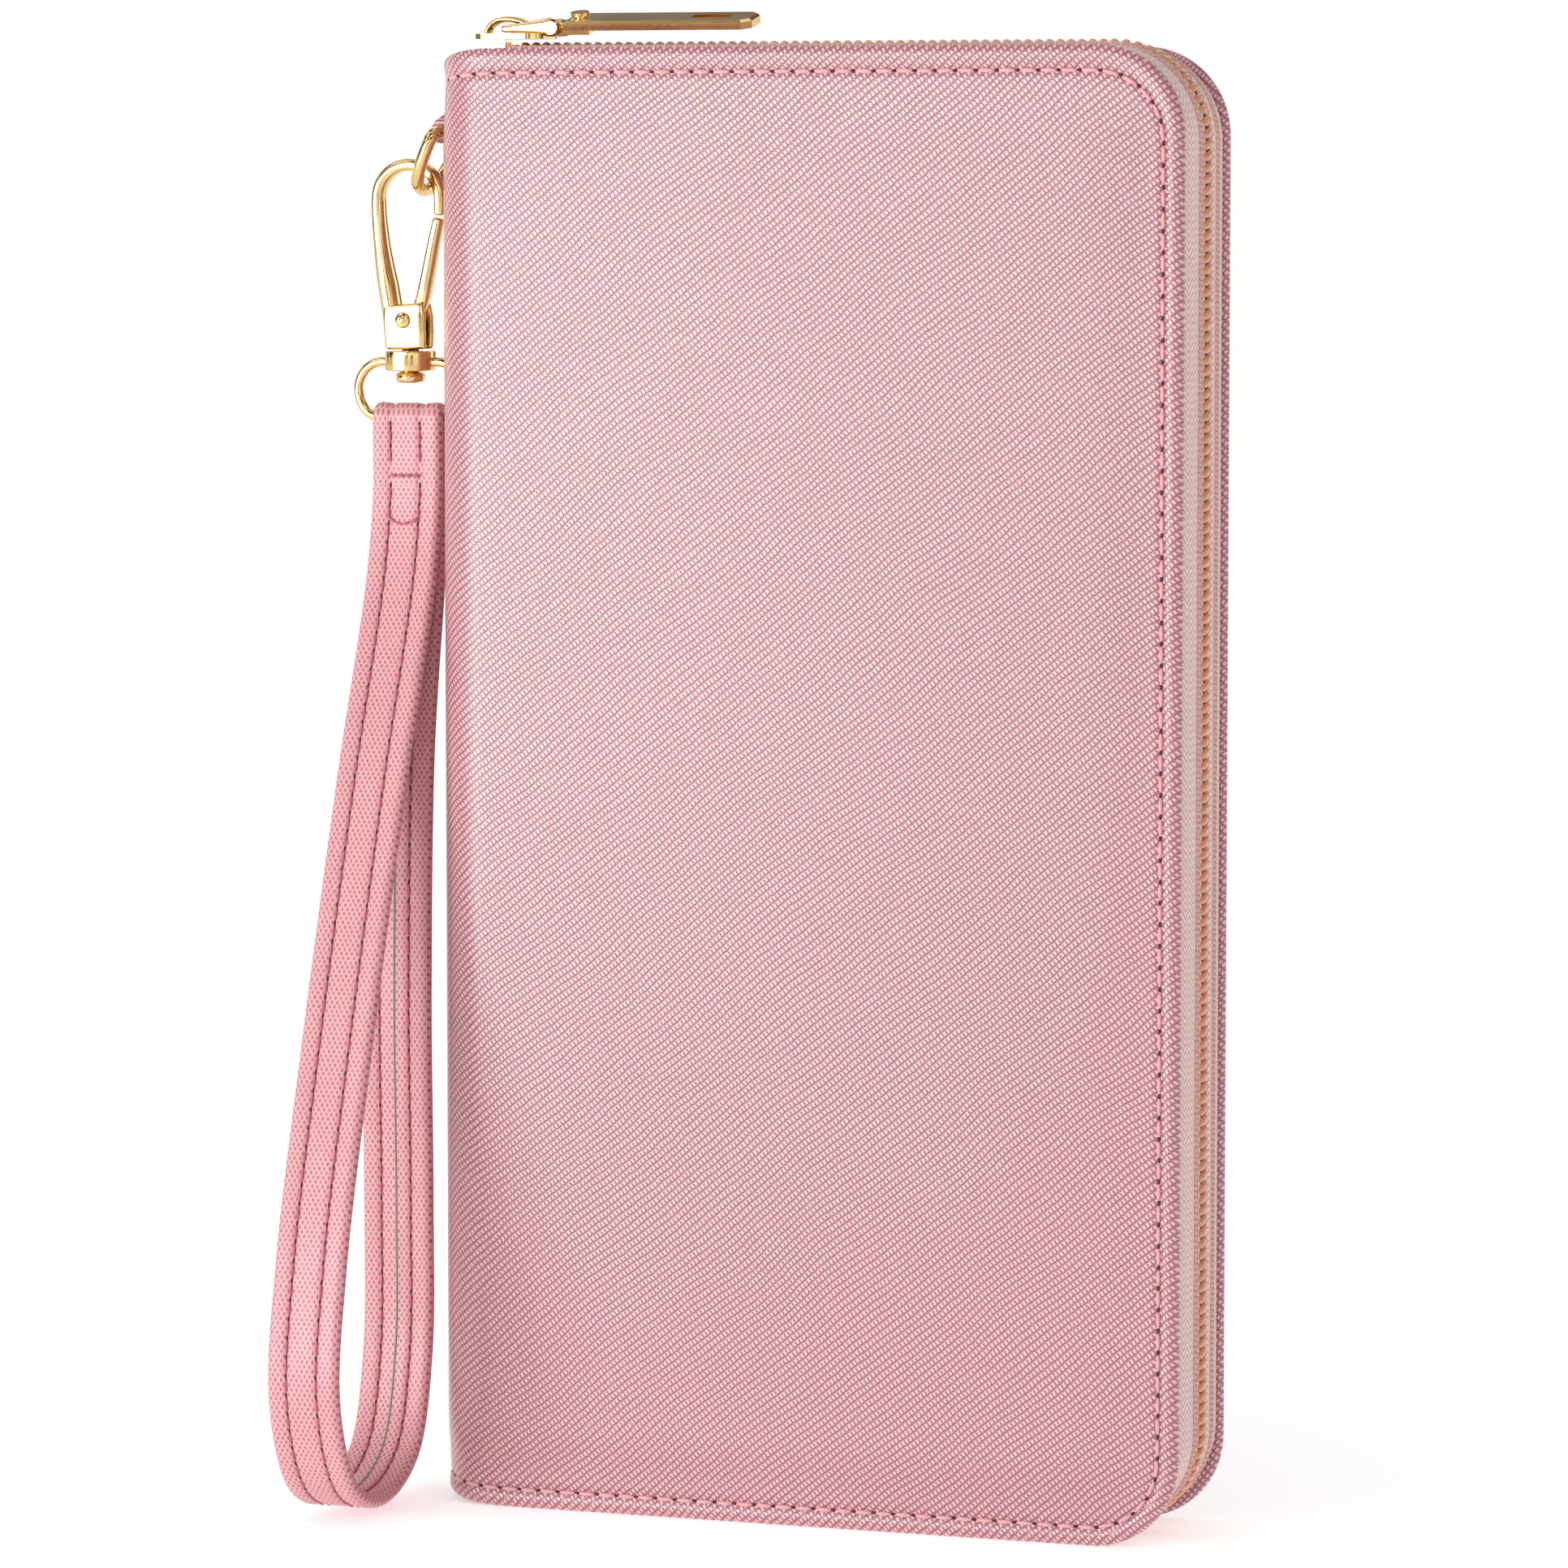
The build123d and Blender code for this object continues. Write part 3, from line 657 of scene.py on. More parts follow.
def walk(points, pitch):
    """Index pairs one pitch apart along a fine path."""
    run = lengths(points)
    marks = np.arange(0, run[-1] - pitch, pitch)
    return [(int(np.searchsorted(run, m)), int(np.searchsorted(run, m + pitch))) for m in marks]


def stitches(name, points, outs, pitch, radius, thread_material, hole_shade_material, gap=0.24):
    """A row of threads with a needle hole between each two; each hole is a small dark piece of painted shade."""
    threads, holes = Batch(), Batch()
    for a, b in walk(points, pitch):
        start = points[a] + (points[b] - points[a]) * gap / 2
        end = points[b] - (points[b] - points[a]) * gap / 2
        threads.add(*capsule(start, end, radius, THREAD_BOW, outs[a]))
        along = (points[b] - points[a]) / np.linalg.norm(points[b] - points[a])
        dot = points[a] - outs[a] * radius * 0.4
        ends = dot - along * HOLE_HALF, dot + along * HOLE_HALF
        holes.add(*capsule(*ends, radius * 1.05, 0.0, outs[a], steps=5, flat=0.6))
    return threads.make(name, thread_material), holes.make(name + "_holes", hole_shade_material)


# ---------- zip


def rim_path(step):
    """Points along the tape's outer line, top left to bottom left, each with its outward direction."""
    r = CORNER_R
    turns = [math.radians(a) for a in np.arange(0, 90, math.degrees(step / r))]
    points, outs = [], []
    for x in np.arange(ZIP_LEFT, SIDE - r, step):
        points.append((x, 0, TAPE_HIGH))
        outs.append((0, 0, 1))
    for t in turns:
        out = (math.sin(t), 0, math.cos(t))
        points.append((SIDE - r + r * out[0], 0, TAPE_HIGH - r + r * out[2]))
        outs.append(out)
    for z in np.arange(TAPE_HIGH - r, TAPE_LOW + r, -step):
        points.append((SIDE, 0, z))
        outs.append((1, 0, 0))
    for t in turns:
        out = (math.cos(t), 0, -math.sin(t))
        points.append((SIDE - r + r * out[0], 0, TAPE_LOW + r + r * out[2]))
        outs.append(out)
    for x in np.arange(SIDE - r, ZIP_LEFT, -step):
        points.append((x, 0, TAPE_LOW))
        outs.append((0, 0, -1))
    return np.array(points, float), np.array(outs, float)


def tape_puff(outs):
    """How strongly the tape bulges where it faces each way: most at the side, least underneath."""
    return 0.6 + 0.4 * np.maximum(outs[:, 0], 0) - 0.35 * np.maximum(-outs[:, 2], 0)


def zip_tape(sign, material):
    """Zip tape from the flange under the cover edge, bulging outwards, to the edge under the coil."""
    points, outs = rim_path(TAPE_STEP)
    section = np.array(TAPE_SECTION)
    run = lengths(section)
    lean = np.gradient(section, axis=0)
    lean /= np.linalg.norm(lean, axis=1)[:, None]
    normal = np.c_[lean[:, 1], -lean[:, 0]]
    loop = np.vstack([section, (section - normal * TAPE_THICK)[::-1]])
    across = np.r_[run, run[::-1]]
    verts, uvs = [], []
    for p, o, puff, length in zip(points, outs, tape_puff(outs), lengths(points)):
        for (off, y), u in zip(loop, across):
            bulge = off * puff if off > 0 else off
            place = p + o * bulge
            verts.append((place[0], y * sign, place[2]))
            uvs.append((u * MM, length * MM))
    n = len(loop)
    faces = grid_faces(len(points), n, wrap=True, flip=sign < 0)
    faces += [cap if sign > 0 else tuple(reversed(cap)) for cap in end_caps(len(verts), n)]
    return make_object("front_tape_cloth" if sign > 0 else "back_tape_cloth", verts, faces, material, uvs)


def zip_teeth(sign, material):
    """One side of the nylon coil: fat slanting loops, the back's reaching over the front's."""
    points, outs = rim_path(COIL_STEP)
    batch = Batch()
    first = 0 if sign > 0 else int(COIL_PITCH / 2 / COIL_STEP)
    under = FRONT_UNDER if sign > 0 else 0.0
    reach = FRONT_REACH if sign > 0 else BACK_REACH
    shares = np.linspace(0, 1, len(COIL_DIP))
    for a, b in walk(points[first:], COIL_PITCH):
        a, b = a + first, b + first
        out = outs[a]
        along = (points[b] - points[a]) / COIL_PITCH
        centre = points[a] + out * (COIL_RISE - under + COIL_LIFT * max(out[2], 0))
        root = centre + np.array([0, -COIL_ROOT * sign, 0]) - along * 0.45
        head = centre + np.array([0, reach * sign, 0]) + along * 0.38
        line = [root + (head - root) * t + out * d for t, d in zip(shares, COIL_DIP)]
        batch.add(*tube(line, [COIL_R * w for w in COIL_SWELL], 10, 0.92, out))
    return batch.make("front_teeth" if sign > 0 else "back_teeth", material)


def tape_stitches(sign, material):
    """Chain stitches that hold the coil on its tape."""
    points, outs = rim_path(COIL_STEP)
    batch = Batch()
    for (y, rise), lean in zip(TAPE_ROWS, (1, -1)):
        line = points + outs * rise * tape_puff(outs)[:, None] + np.array([0, -y * sign, 0])
        slant = np.array([0, TAPE_STITCH_SLANT * sign * lean, 0])
        for a, b in walk(line, TAPE_STITCH_PITCH):
            batch.add(*capsule(line[a] + slant, line[b] - slant * 0.4, 0.24, 0.10, outs[a], steps=4, sides=6))
    return batch.make("front_tape_stitches" if sign > 0 else "back_tape_stitches", material)


# ---------- strap


def between(a, b, start, end, t):
    """The point at t on the way from a, at start, to b, at end."""
    return (end - t) / (end - start) * a + (t - start) / (end - start) * b


def through(points, step, closed=False):
    """A smooth line through points, sampled about a step apart, by centripetal Catmull-Rom spans."""
    points = [np.array(p, float) for p in points]
    if closed:
        points = [points[-1]] + points + points[:2]
    else:
        points = [2 * points[0] - points[1]] + points + [2 * points[-1] - points[-2]]
    line = []
    for p0, p1, p2, p3 in zip(points, points[1:], points[2:], points[3:]):
        knots = [0.0]
        for a, b in ((p0, p1), (p1, p2), (p2, p3)):
            knots.append(knots[-1] + math.sqrt(max(np.linalg.norm(b - a), 1e-9)))
        t0, t1, t2, t3 = knots
        count = max(2, int(np.linalg.norm(p2 - p1) / step))
        for t in np.linspace(t1, t2, count, endpoint=False):
            a1, a2, a3 = between(p0, p1, t0, t1, t), between(p1, p2, t1, t2, t), between(p2, p3, t2, t3, t)
            b1, b2 = between(a1, a2, t0, t2, t), between(a2, a3, t1, t3, t)
            line.append(between(b1, b2, t1, t2, t))
    line.append(points[-2])
    return np.array(line)


def strap_route():
    """The band's centre line in Y and Z, closed: down the front, round the loop, up the back, over the eye."""
    turn = [(SLEEVE_R * math.cos(a), SLEEVE_TOP + SLEEVE_R * math.sin(a)) for a in np.linspace(0, math.pi, 9)]
    rise = [(1.0, z) for z in (143.0, 146.0)]
    fall = [(-1.0, z) for z in (146.0, 143.0)]
    return through(STRAP_LINE + rise + turn + fall, 1.0, closed=True)


def band_section():
    """Section of the band: across X from 0 to 1, and its two faces' heights, with puffed edges and sewn grooves."""
    across = np.r_[np.linspace(0, 0.12, 6), np.linspace(0.15, 0.85, 29), np.linspace(0.88, 1, 6)]
    half = []
    for u in across:
        edge = min(u, 1 - u) * (STRAP_HIGH[0] - STRAP_LOW[0])
        round_edge = math.sqrt(max(1 - (1 - min(edge / 0.95, 1)) ** 2, 0.0))
        groove = sum(0.22 * math.exp(-(((u - g) / 0.035) ** 2)) for g in STITCH_ACROSS)
        half.append((0.98 + 0.08 * math.exp(-(((edge - 1.1) / 0.8) ** 2))) * round_edge - groove)
    return across, np.array(half)


def strap_frame():
    """The closed route, with the direction that points out of the loop at each of its points."""
    route = strap_route()[:-1]
    along = np.roll(route, -1, axis=0) - np.roll(route, 1, axis=0)
    along /= np.linalg.norm(along, axis=1)[:, None]
    return route, np.c_[along[:, 1], -along[:, 0]]


def strap_mesh(material):
    """The sewn band of the wrist strap."""
    route, out = strap_frame()
    run = lengths(route)
    across, half = band_section()
    width = STRAP_HIGH[0] - STRAP_LOW[0]
    verts, uvs = [], []
    for (y, z), (oy, oz), length in zip(route, out, run):
        for u, h in zip(across, half):
            verts.append((STRAP_LOW[0] + u * width, y + oy * h, z + oz * h))
            uvs.append((u * width * MM, length * MM))
        for u, h in zip(across[::-1], half[::-1]):
            verts.append((STRAP_LOW[0] + u * width, y - oy * h, z - oz * h))
            uvs.append(((2 - u) * width * MM, length * MM))
    n, rows = 2 * len(across), len(route)
    band = make_object("strap_band", verts, ring_faces(rows, n), material, uvs)
    # Where the last row joins the first, the first row's length counts as the whole way round
    layer = band.data.uv_layers[0].data
    end = (run[-1] + np.linalg.norm(route[0] - route[-1])) * MM
    for polygon in band.data.polygons:
        places = [(loop, band.data.loops[loop].vertex_index) for loop in polygon.loop_indices]
        if max(v for _, v in places) >= (rows - 1) * n and min(v for _, v in places) < n:
            for loop, v in places:
                if v < n:
                    layer[loop].uv[1] = end
    return band


def strap_line(u, side, lift, top):
    """A fine line along the band's face below a height, at a share u of its width."""
    route, out = strap_frame()
    width = STRAP_HIGH[0] - STRAP_LOW[0]
    points, outs = [], []
    for i in range(len(route) - 1):
        if route[i][1] >= top:
            continue
        for t in np.linspace(0, 1, 8, endpoint=False):
            p = route[i] * (1 - t) + route[i + 1] * t
            o = side * (out[i] * (1 - t) + out[i + 1] * t)
            points.append((STRAP_LOW[0] + u * width, p[0] + o[0] * lift, p[1] + o[1] * lift))
            outs.append((0, o[0], o[1]))
    return np.array(points), np.array(outs)


def strap_sewing(thread_material, hole_shade_material, core_material):
    """Sewn lines on both faces of the band, the box sewn under the eye, and the seam inside the loop."""
    made = []
    for k, u in enumerate(STITCH_ACROSS):
        for face, side, top in (("outer", 1, OUTER_SEAM_TOP), ("inner", -1, INNER_SEAM_TOP)):
            points, outs = strap_line(u, side, 0.86, top)
            name = f"strap_seam_{face}_{k}"
            made += stitches(name, points, outs, STRAP_PITCH, 0.2, thread_material, hole_shade_material, gap=0.3)
    points, _ = strap_line(0.5, -1, 1.0, INNER_SEAM_TOP)
    seam = Batch()
    seam.add(*tube(points[::4], 0.2, 6, 0.7, (1, 0, 0)))
    made.append(seam.make("strap_core_seam", core_material))
    width = STRAP_HIGH[0] - STRAP_LOW[0]
    route, _ = strap_frame()
    down = route[: len(route) // 4]
    box = Batch()
    shares = np.linspace(*STITCH_ACROSS, 13)
    for z, sag in ((BOX_HIGH, 0.0), (BOX_LOW, BOX_SAG)):
        y = float(np.interp(z, down[::-1, 1], down[::-1, 0])) - 1.0 - 0.05
        line = [(STRAP_LOW[0] + u * width, y, z + sag * math.sin(math.pi * i / 12)) for i, u in enumerate(shares)]
        for i in range(0, 12, 3):
            box.add(*capsule(line[i], line[i + 3], 0.26, 0.1, (0, -1, 0), steps=5))
    made.append(box.make("strap_box_stitch", thread_material))
    return made


# ---------- panels


def panel_lines(low, high, count):
    """Places across a panel, close together by its edges."""
    ins = [0, 0.12, 0.35, 0.8, 1.6]
    middle = list(np.linspace(low + 4, high - 4, count))
    return [low + i for i in ins] + middle + [high - i for i in reversed(ins)]


def soft_panel(node, material, radius, thin=1):
    """A thin sewn panel across one axis (1 for Y, 0 for X) that stands for a flat CAD one. It has rolled edges and
    a slightly uneven face."""
    low, high = corner(node, 0), corner(node, 1)
    wide = 1 - thin
    left, far = low[wide], high[wide]
    middle, half = (low[thin] + high[thin]) / 2, (high[thin] - low[thin]) / 2
    xs = panel_lines(left, far, 24)
    zs = panel_lines(low[2], high[2], 40)
    verts = []
    shift = sum(map(ord, node)) % 17
    for side in (-1, 1):
        for z in zs:
            for x in xs:
                edge = min(x - left, far - x, z - low[2], high[2] - z)
                round_edge = math.sqrt(max(1 - (1 - min(edge / 0.5, 1)) ** 2, 0.0))
                wave = PANEL_WAVE * math.sin(x / 11 + shift) * math.sin(z / 17 + shift) * min(edge / 6, 1)
                right = far - radius
                cx, px = max(x - right, 0), x
                for end, sign in ((high[2], 1), (low[2], -1)):
                    cz = end - sign * radius
                    dz = (z - cz) * sign
                    if cx > 0 and dz > 0 and math.hypot(cx, dz) > radius:
                        px = right + math.sqrt(max(radius**2 - dz**2, 0))
                at = [0, 0, z]
                at[wide] = px
                at[thin] = middle + side * half * round_edge + wave
                verts.append(at)
    return make_object(node + "_panel", verts, slab_faces(len(zs), len(xs)), material)


# ---------- metal


def bar(path, half_wide, half_thick, up, power=3.5, sides=24, cap=0.35):
    """A closed bar along a path: rounded-box section, half_thick along up, eased in at both ends by cap."""
    path = np.asarray(path, float)
    wide = np.broadcast_to(half_wide, len(path)).astype(float)
    thick = np.broadcast_to(half_thick, len(path)).astype(float)
    along = np.gradient(path, axis=0)
    along /= np.linalg.norm(along, axis=1)[:, None]
    ends = []
    for i, sign in ((0, -1), (len(path) - 1, 1)):
        rows = []
        for t in (0.0, 0.35, 0.7, 1.0):
            shrink = cap * (1 - math.sqrt(max(1 - t * t, 0.0)))
            rows.append((path[i] + sign * along[i] * cap * t, along[i], wide[i] - shrink, thick[i] - shrink))
        ends.append(rows)
    middle = list(zip(path[1:-1], along[1:-1], wide[1:-1], thick[1:-1]))
    rows = ends[0][::-1] + middle + ends[1]
    up = np.asarray(up, float)
    verts = []
    for p, a, w, t in rows:
        across = np.cross(a, up)
        across /= np.linalg.norm(across)
        high = np.cross(across, a)
        for k in range(sides):
            c, s = math.cos(2 * math.pi * k / sides), math.sin(2 * math.pi * k / sides)
            x = w * math.copysign(abs(c) ** (2 / power), c)
            y = t * math.copysign(abs(s) ** (2 / power), s)
            verts.append(p + across * x + high * y)
    return verts, grid_faces(len(rows), sides, wrap=True) + end_caps(len(verts), sides)


def lathe(outline, centre, axis, sides=40):
    """A closed turned piece: outline gives radius and height along the axis, from one end to the other."""
    axis = np.asarray(axis, float)
    side = np.cross(axis, (0, 1, 0) if abs(axis[1]) < 0.5 else (1, 0, 0))
    other = np.cross(axis, side)
    verts = []
    for r, h in outline:
        for k in range(sides):
            t = 2 * math.pi * k / sides
            verts.append(np.asarray(centre) + axis * h + r * (math.cos(t) * side + math.sin(t) * other))
    faces = grid_faces(len(outline), sides, wrap=True, flip=True)
    return verts, faces + [tuple(reversed(cap)) for cap in end_caps(len(verts), sides)]


def loop_tube(points, radius, sides=14, up=(0, 1, 0)):
    """A ring of round wire through closed points."""
    points = np.asarray(points, float)
    along = np.roll(points, -1, axis=0) - np.roll(points, 1, axis=0)
    along /= np.linalg.norm(along, axis=1)[:, None]
    verts = []
    for p, a in zip(points, along):
        across = np.cross(a, up)
        across /= np.linalg.norm(across)
        high = np.cross(across, a)
        for k in range(sides):
            t = 2 * math.pi * k / sides
            verts.append(p + radius * (math.cos(t) * across + math.sin(t) * high))
    return verts, ring_faces(len(points), sides)


def dome(radius, low, high, edge=0.25):
    """Outline of a turned button with eased rims, for lathe."""
    return [(radius - edge, low), (radius, low + edge), (radius, high - edge), (radius - edge, high)]


def xz(points):
    """Points in the middle plane from pairs of X and Z."""
    return [(x, 0.0, z) for x, z in points]


def hook_body(batch):
    """The hook's round arm and the two cheeks that hold its gate."""
    arm = [(-9.9, 160.2), (-10.3, 163.0), (-10.75, 166.0), (-11.5, 170.0), (-12.05, 174.0), (-12.35, 177.2)]
    bend = [(HOOK_X - 4.6 * math.cos(t), 179.6 + 4.6 * math.sin(t)) for t in np.linspace(0, math.pi, 13)]
    line = through(arm + bend + [(-3.22, 177.6)], 0.5)
    run = np.linspace(0, 1, len(line))
    wide = np.interp(run, [0, 0.1, 0.22, 0.38, 0.55, 1], [1.0, 1.25, 1.25, 0.98, 0.88, 0.82])
    thick = np.interp(run, [0, 0.25, 0.5, 1], [1.75, 1.6, 1.2, 1.0])
    batch.add(*bar(xz(line), wide, thick, (0, 1, 0), power=3.0))
    for sign in (-1, 1):
        y = 1.35 * sign
        rows = [(-7.95, y, 159.2), (-7.98, y, 161.0), (-8.1, y, 163.2), (-8.2, y, 164.6)]
        batch.add(*bar(rows, [2.95, 3.05, 3.1, 2.9], 0.42, (0, 1, 0), power=5.0, cap=0.4))


def hook_gate(batch):
    """The spring gate from its pin up to the hook's tip."""
    x, z = GATE_PIN
    line = through([(x, z), (-6.9, 163.6), (-5.9, 165.6), (-5.1, 169.0), (-4.2, 173.4), (-3.5, 176.55)], 0.5)
    run = np.linspace(0, 1, len(line))
    wide = np.interp(run, [0, 0.15, 1], [1.1, 0.95, 0.72])
    thick = np.interp(run, [0, 0.2, 0.34, 1], [0.78, 0.78, 1.15, 0.95])
    batch.add(*bar(xz(line), wide, thick, (0, 1, 0), power=3.5))


def gate_pin(batch):
    """The gate's pin, with a head at each end."""
    x, z = GATE_PIN
    half = [(1.05, 1.6), (1.16, 1.7), (1.1, 1.95), (0.75, 2.15)]
    outline = [(r, -y) for r, y in reversed(half)] + half
    batch.add(*lathe(outline, (x, 0, z), (0, 1, 0)))
    for sign in (-1, 1):
        batch.add(*lathe(dome(0.45, 2.0, 2.28, 0.1), (x, 0, z), (0, sign, 0)))


def swivel_post(batch):
    """The turned post under the hook, with the head that keeps the eye on."""
    outline = [(1.7, 154.2), (2.0, 154.5), (2.0, 155.3), (1.7, 155.6), (1.18, 155.7), (1.18, 158.9), (1.7, 159.0),
               (1.7, 159.3)]
    batch.add(*lathe(outline, (HOOK_X, 0, 0), (0, 0, 1)))


def swivel_eye(batch):
    """The collar on the post and the wire loop that carries the strap."""
    rows = [(HOOK_X, 0, z) for z in (156.05, 156.8, 157.6, 158.35)]
    batch.add(*bar(rows, 3.3, 3.3, (0, 1, 0), power=2.6, sides=40, cap=0.22))
    side = [(3.0, 157.0), (4.7, 157.0), (6.4, 156.2), (7.6, 154.4), (7.7, 152.4), (6.8, 150.4), (5.4, 149.5),
            (3.0, 149.4)]
    right = [(HOOK_X + x, z) for x, z in side]
    left = [(HOOK_X - x, z) for x, z in reversed(side)]
    batch.add(*loop_tube(xz(through(right + left, 0.5, closed=True)[:-1]), 0.66))


def d_ring(batch):
    """The ring, straight where the tab holds it."""
    bar_at, foot = (np.array((p[0], 0.0, p[1])) for p in (RING_BAR, RING_FOOT))
    reach = np.linalg.norm(foot - bar_at)
    lean = (foot - bar_at) / reach
    flat = [(-4.2, 0), (0, 0), (4.2, 0), (5.3, 0.9), (5.4, 2.6), (5.0, 5.2), (3.4, 7.6), (0, reach), (-3.4, 7.6),
            (-5.0, 5.2), (-5.4, 2.6), (-5.3, 0.9)]
    line = through(flat, 0.6, closed=True)[:-1]
    up = np.cross(lean, (0, 1, 0))
    batch.add(*loop_tube([bar_at + lean * t + np.array([0, y, 0]) for y, t in line], 0.9, up=up))


def slider_bridge(batch):
    """The arch on the slider that the pull hangs from."""
    arch = [(3.9, 201.8), (4.3, 203.0), (5.6, 203.85), (7.4, 204.0), (9.2, 203.6), (10.3, 202.8), (10.6, 201.8)]
    batch.add(*bar(xz(through(arch, 0.3)), 0.42, 1.0, (0, 1, 0), power=2.4))


def pull_link(batch):
    """Two tapered arms and the bar between them that passes under the bridge."""
    arm = [(7.2, 202.7), (8.5, 202.72), (10.5, 202.78), (12.5, 202.85), (13.7, 202.9), (14.7, 202.85)]
    for y in (-2.1, 2.1):
        line = [(x, y, z) for x, z in arm]
        batch.add(*bar(line, 0.42, [0.5, 0.62, 0.85, 1.1, 1.25, 1.1], (0, 0, 1), power=2.8, cap=0.4))
    batch.add(*bar([(7.6, y, 202.75) for y in (-2.2, 0, 2.2)], 0.48, 0.48, (0, 0, 1), power=2.0, cap=0.2))


def stand_in(obj, node, body):
    """Puts a mesh in a CAD node's place, on the body that carries it."""
    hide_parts(node)
    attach(obj, body)


def build_metal(material):
    """Rounder metal pieces in place of the CAD ones: each with the body that carries it."""
    pieces = {
        "hook_body": (hook_body, "snap_hook"), "hook_gate": (hook_gate, "hook_gate"),
        "gate_pin": (gate_pin, "snap_hook"), "swivel_post": (swivel_post, "snap_hook"),
        "swivel_eye": (swivel_eye, "swivel_eye"), "d_ring": (d_ring, "d_ring"),
        "slider_bridge": (slider_bridge, "zip_slider"), "pull_link": (pull_link, "zip_link"),
    }
    for node, (shape, body) in pieces.items():
        batch = Batch()
        shape(batch)
        stand_in(batch.make(node + "_metal", material), node, body)


def ring_holder(material):
    """The folded leather tab that holds the ring, thin where it is sewn to the spine."""
    x = RING_BAR[0]
    outline = [(-0.35, 198.0), (-0.45, 195.0), (-0.7, 192.6), (-1.5, 191.0), (-2.9, 190.1), (-3.55, 189.0),
               (-3.5, 188.0), (-2.9, 187.3), (-2.0, 187.1), (-1.1, 187.3), (-0.5, 188.0), (-0.02, 189.2),
               (-0.02, 198.0)]
    middle = np.mean(outline, axis=0)[1]
    # Across the tab, with how far its section is eased in towards the ring's bar at each side
    rows = [(-3.0, 0.86), (-2.85, 0.97), (-2.4, 1.0), (0.0, 1.0), (2.4, 1.0), (2.85, 0.97), (3.0, 0.86)]
    verts = []
    for y, ease in rows:
        for px, pz in outline:
            if px < -0.1:
                pz = middle + (pz - middle) * (1 - (1 - ease) * 0.1)
            if px < x:
                px = x + (px - x) * ease
            verts.append((px, y, pz))
    n = len(outline)
    faces = grid_faces(len(rows), n, wrap=True) + end_caps(len(verts), n)
    uvs = [(-y * MM, pz * MM) for _, y, pz in verts]
    stand_in(make_object("ring_holder", verts, faces, material, uvs), "ring_tab", "spine")


# ---------- assembly


def blend_half(obj):
    """Bakes the piece's placement into its mesh."""
    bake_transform(obj)


def build_cover(leather, thread_material, hole_shade_material):
    """Both halves of the cover leather with their seams."""
    for sign, side in ((1, "front"), (-1, "back")):
        half = leather_half(sign, leather)
        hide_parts(side + "_cover", *(["spine_leather"] if sign > 0 else []))
        blend_half(half)
        path, outs = seam_path(sign)
        for piece in stitches(side + "_seam", path, outs, STITCH_PITCH, THREAD_R, thread_material, hole_shade_material):
            blend_half(piece)


def build_zip(tape, coil, thread_material):
    """Each half's tape, teeth and chain stitches."""
    for sign, side in ((1, "front"), (-1, "back")):
        body = side + "_half"
        stand_in(zip_tape(sign, tape), side + "_zip_tape", body)
        stand_in(zip_teeth(sign, coil), side + "_zip_coil", body)
        chain = tape_stitches(sign, thread_material)
        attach(chain, body)


def build_strap(leather, thread_material, hole_shade_material, core_material):
    """The strap's band with its sewing."""
    stand_in(strap_mesh(leather), "wrist_strap", "wrist_strap")
    for piece in strap_sewing(thread_material, hole_shade_material, core_material):
        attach(piece, "wrist_strap")


def build_inside(leaf, lining):
    """Linings, card leaves and the coin pocket's walls, each with its body, material and corner radius."""
    panels = {"spine_lining": ("spine", lining, 0.5)}
    for side in ("front", "back"):
        panels[side + "_lining"] = (side + "_half", lining, 10.0)
        for i in (1, 2, 3):
            panels[f"{side}_card_leaf_{i}"] = (side + "_half", leaf, 3.0)
        panels[f"coin_pocket_{side}_wall"] = ("spine", leaf, 0.5)
    for node, (body, material, radius) in panels.items():
        stand_in(soft_panel(node, material, radius, thin=0 if node == "spine_lining" else 1), node, body)


def paint(nodes, material):
    """Gives carried-over CAD nodes a material."""
    for node in nodes:
        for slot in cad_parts[node].material_slots:
            slot.material = material


GOLD_NODES = ["slider_body", "pull_pin", "pull_neck", "pull_rivet_head", "pull_tab", "coin_slider", "coin_pull",
              "zip_top_stop", "zip_bottom_stop"]


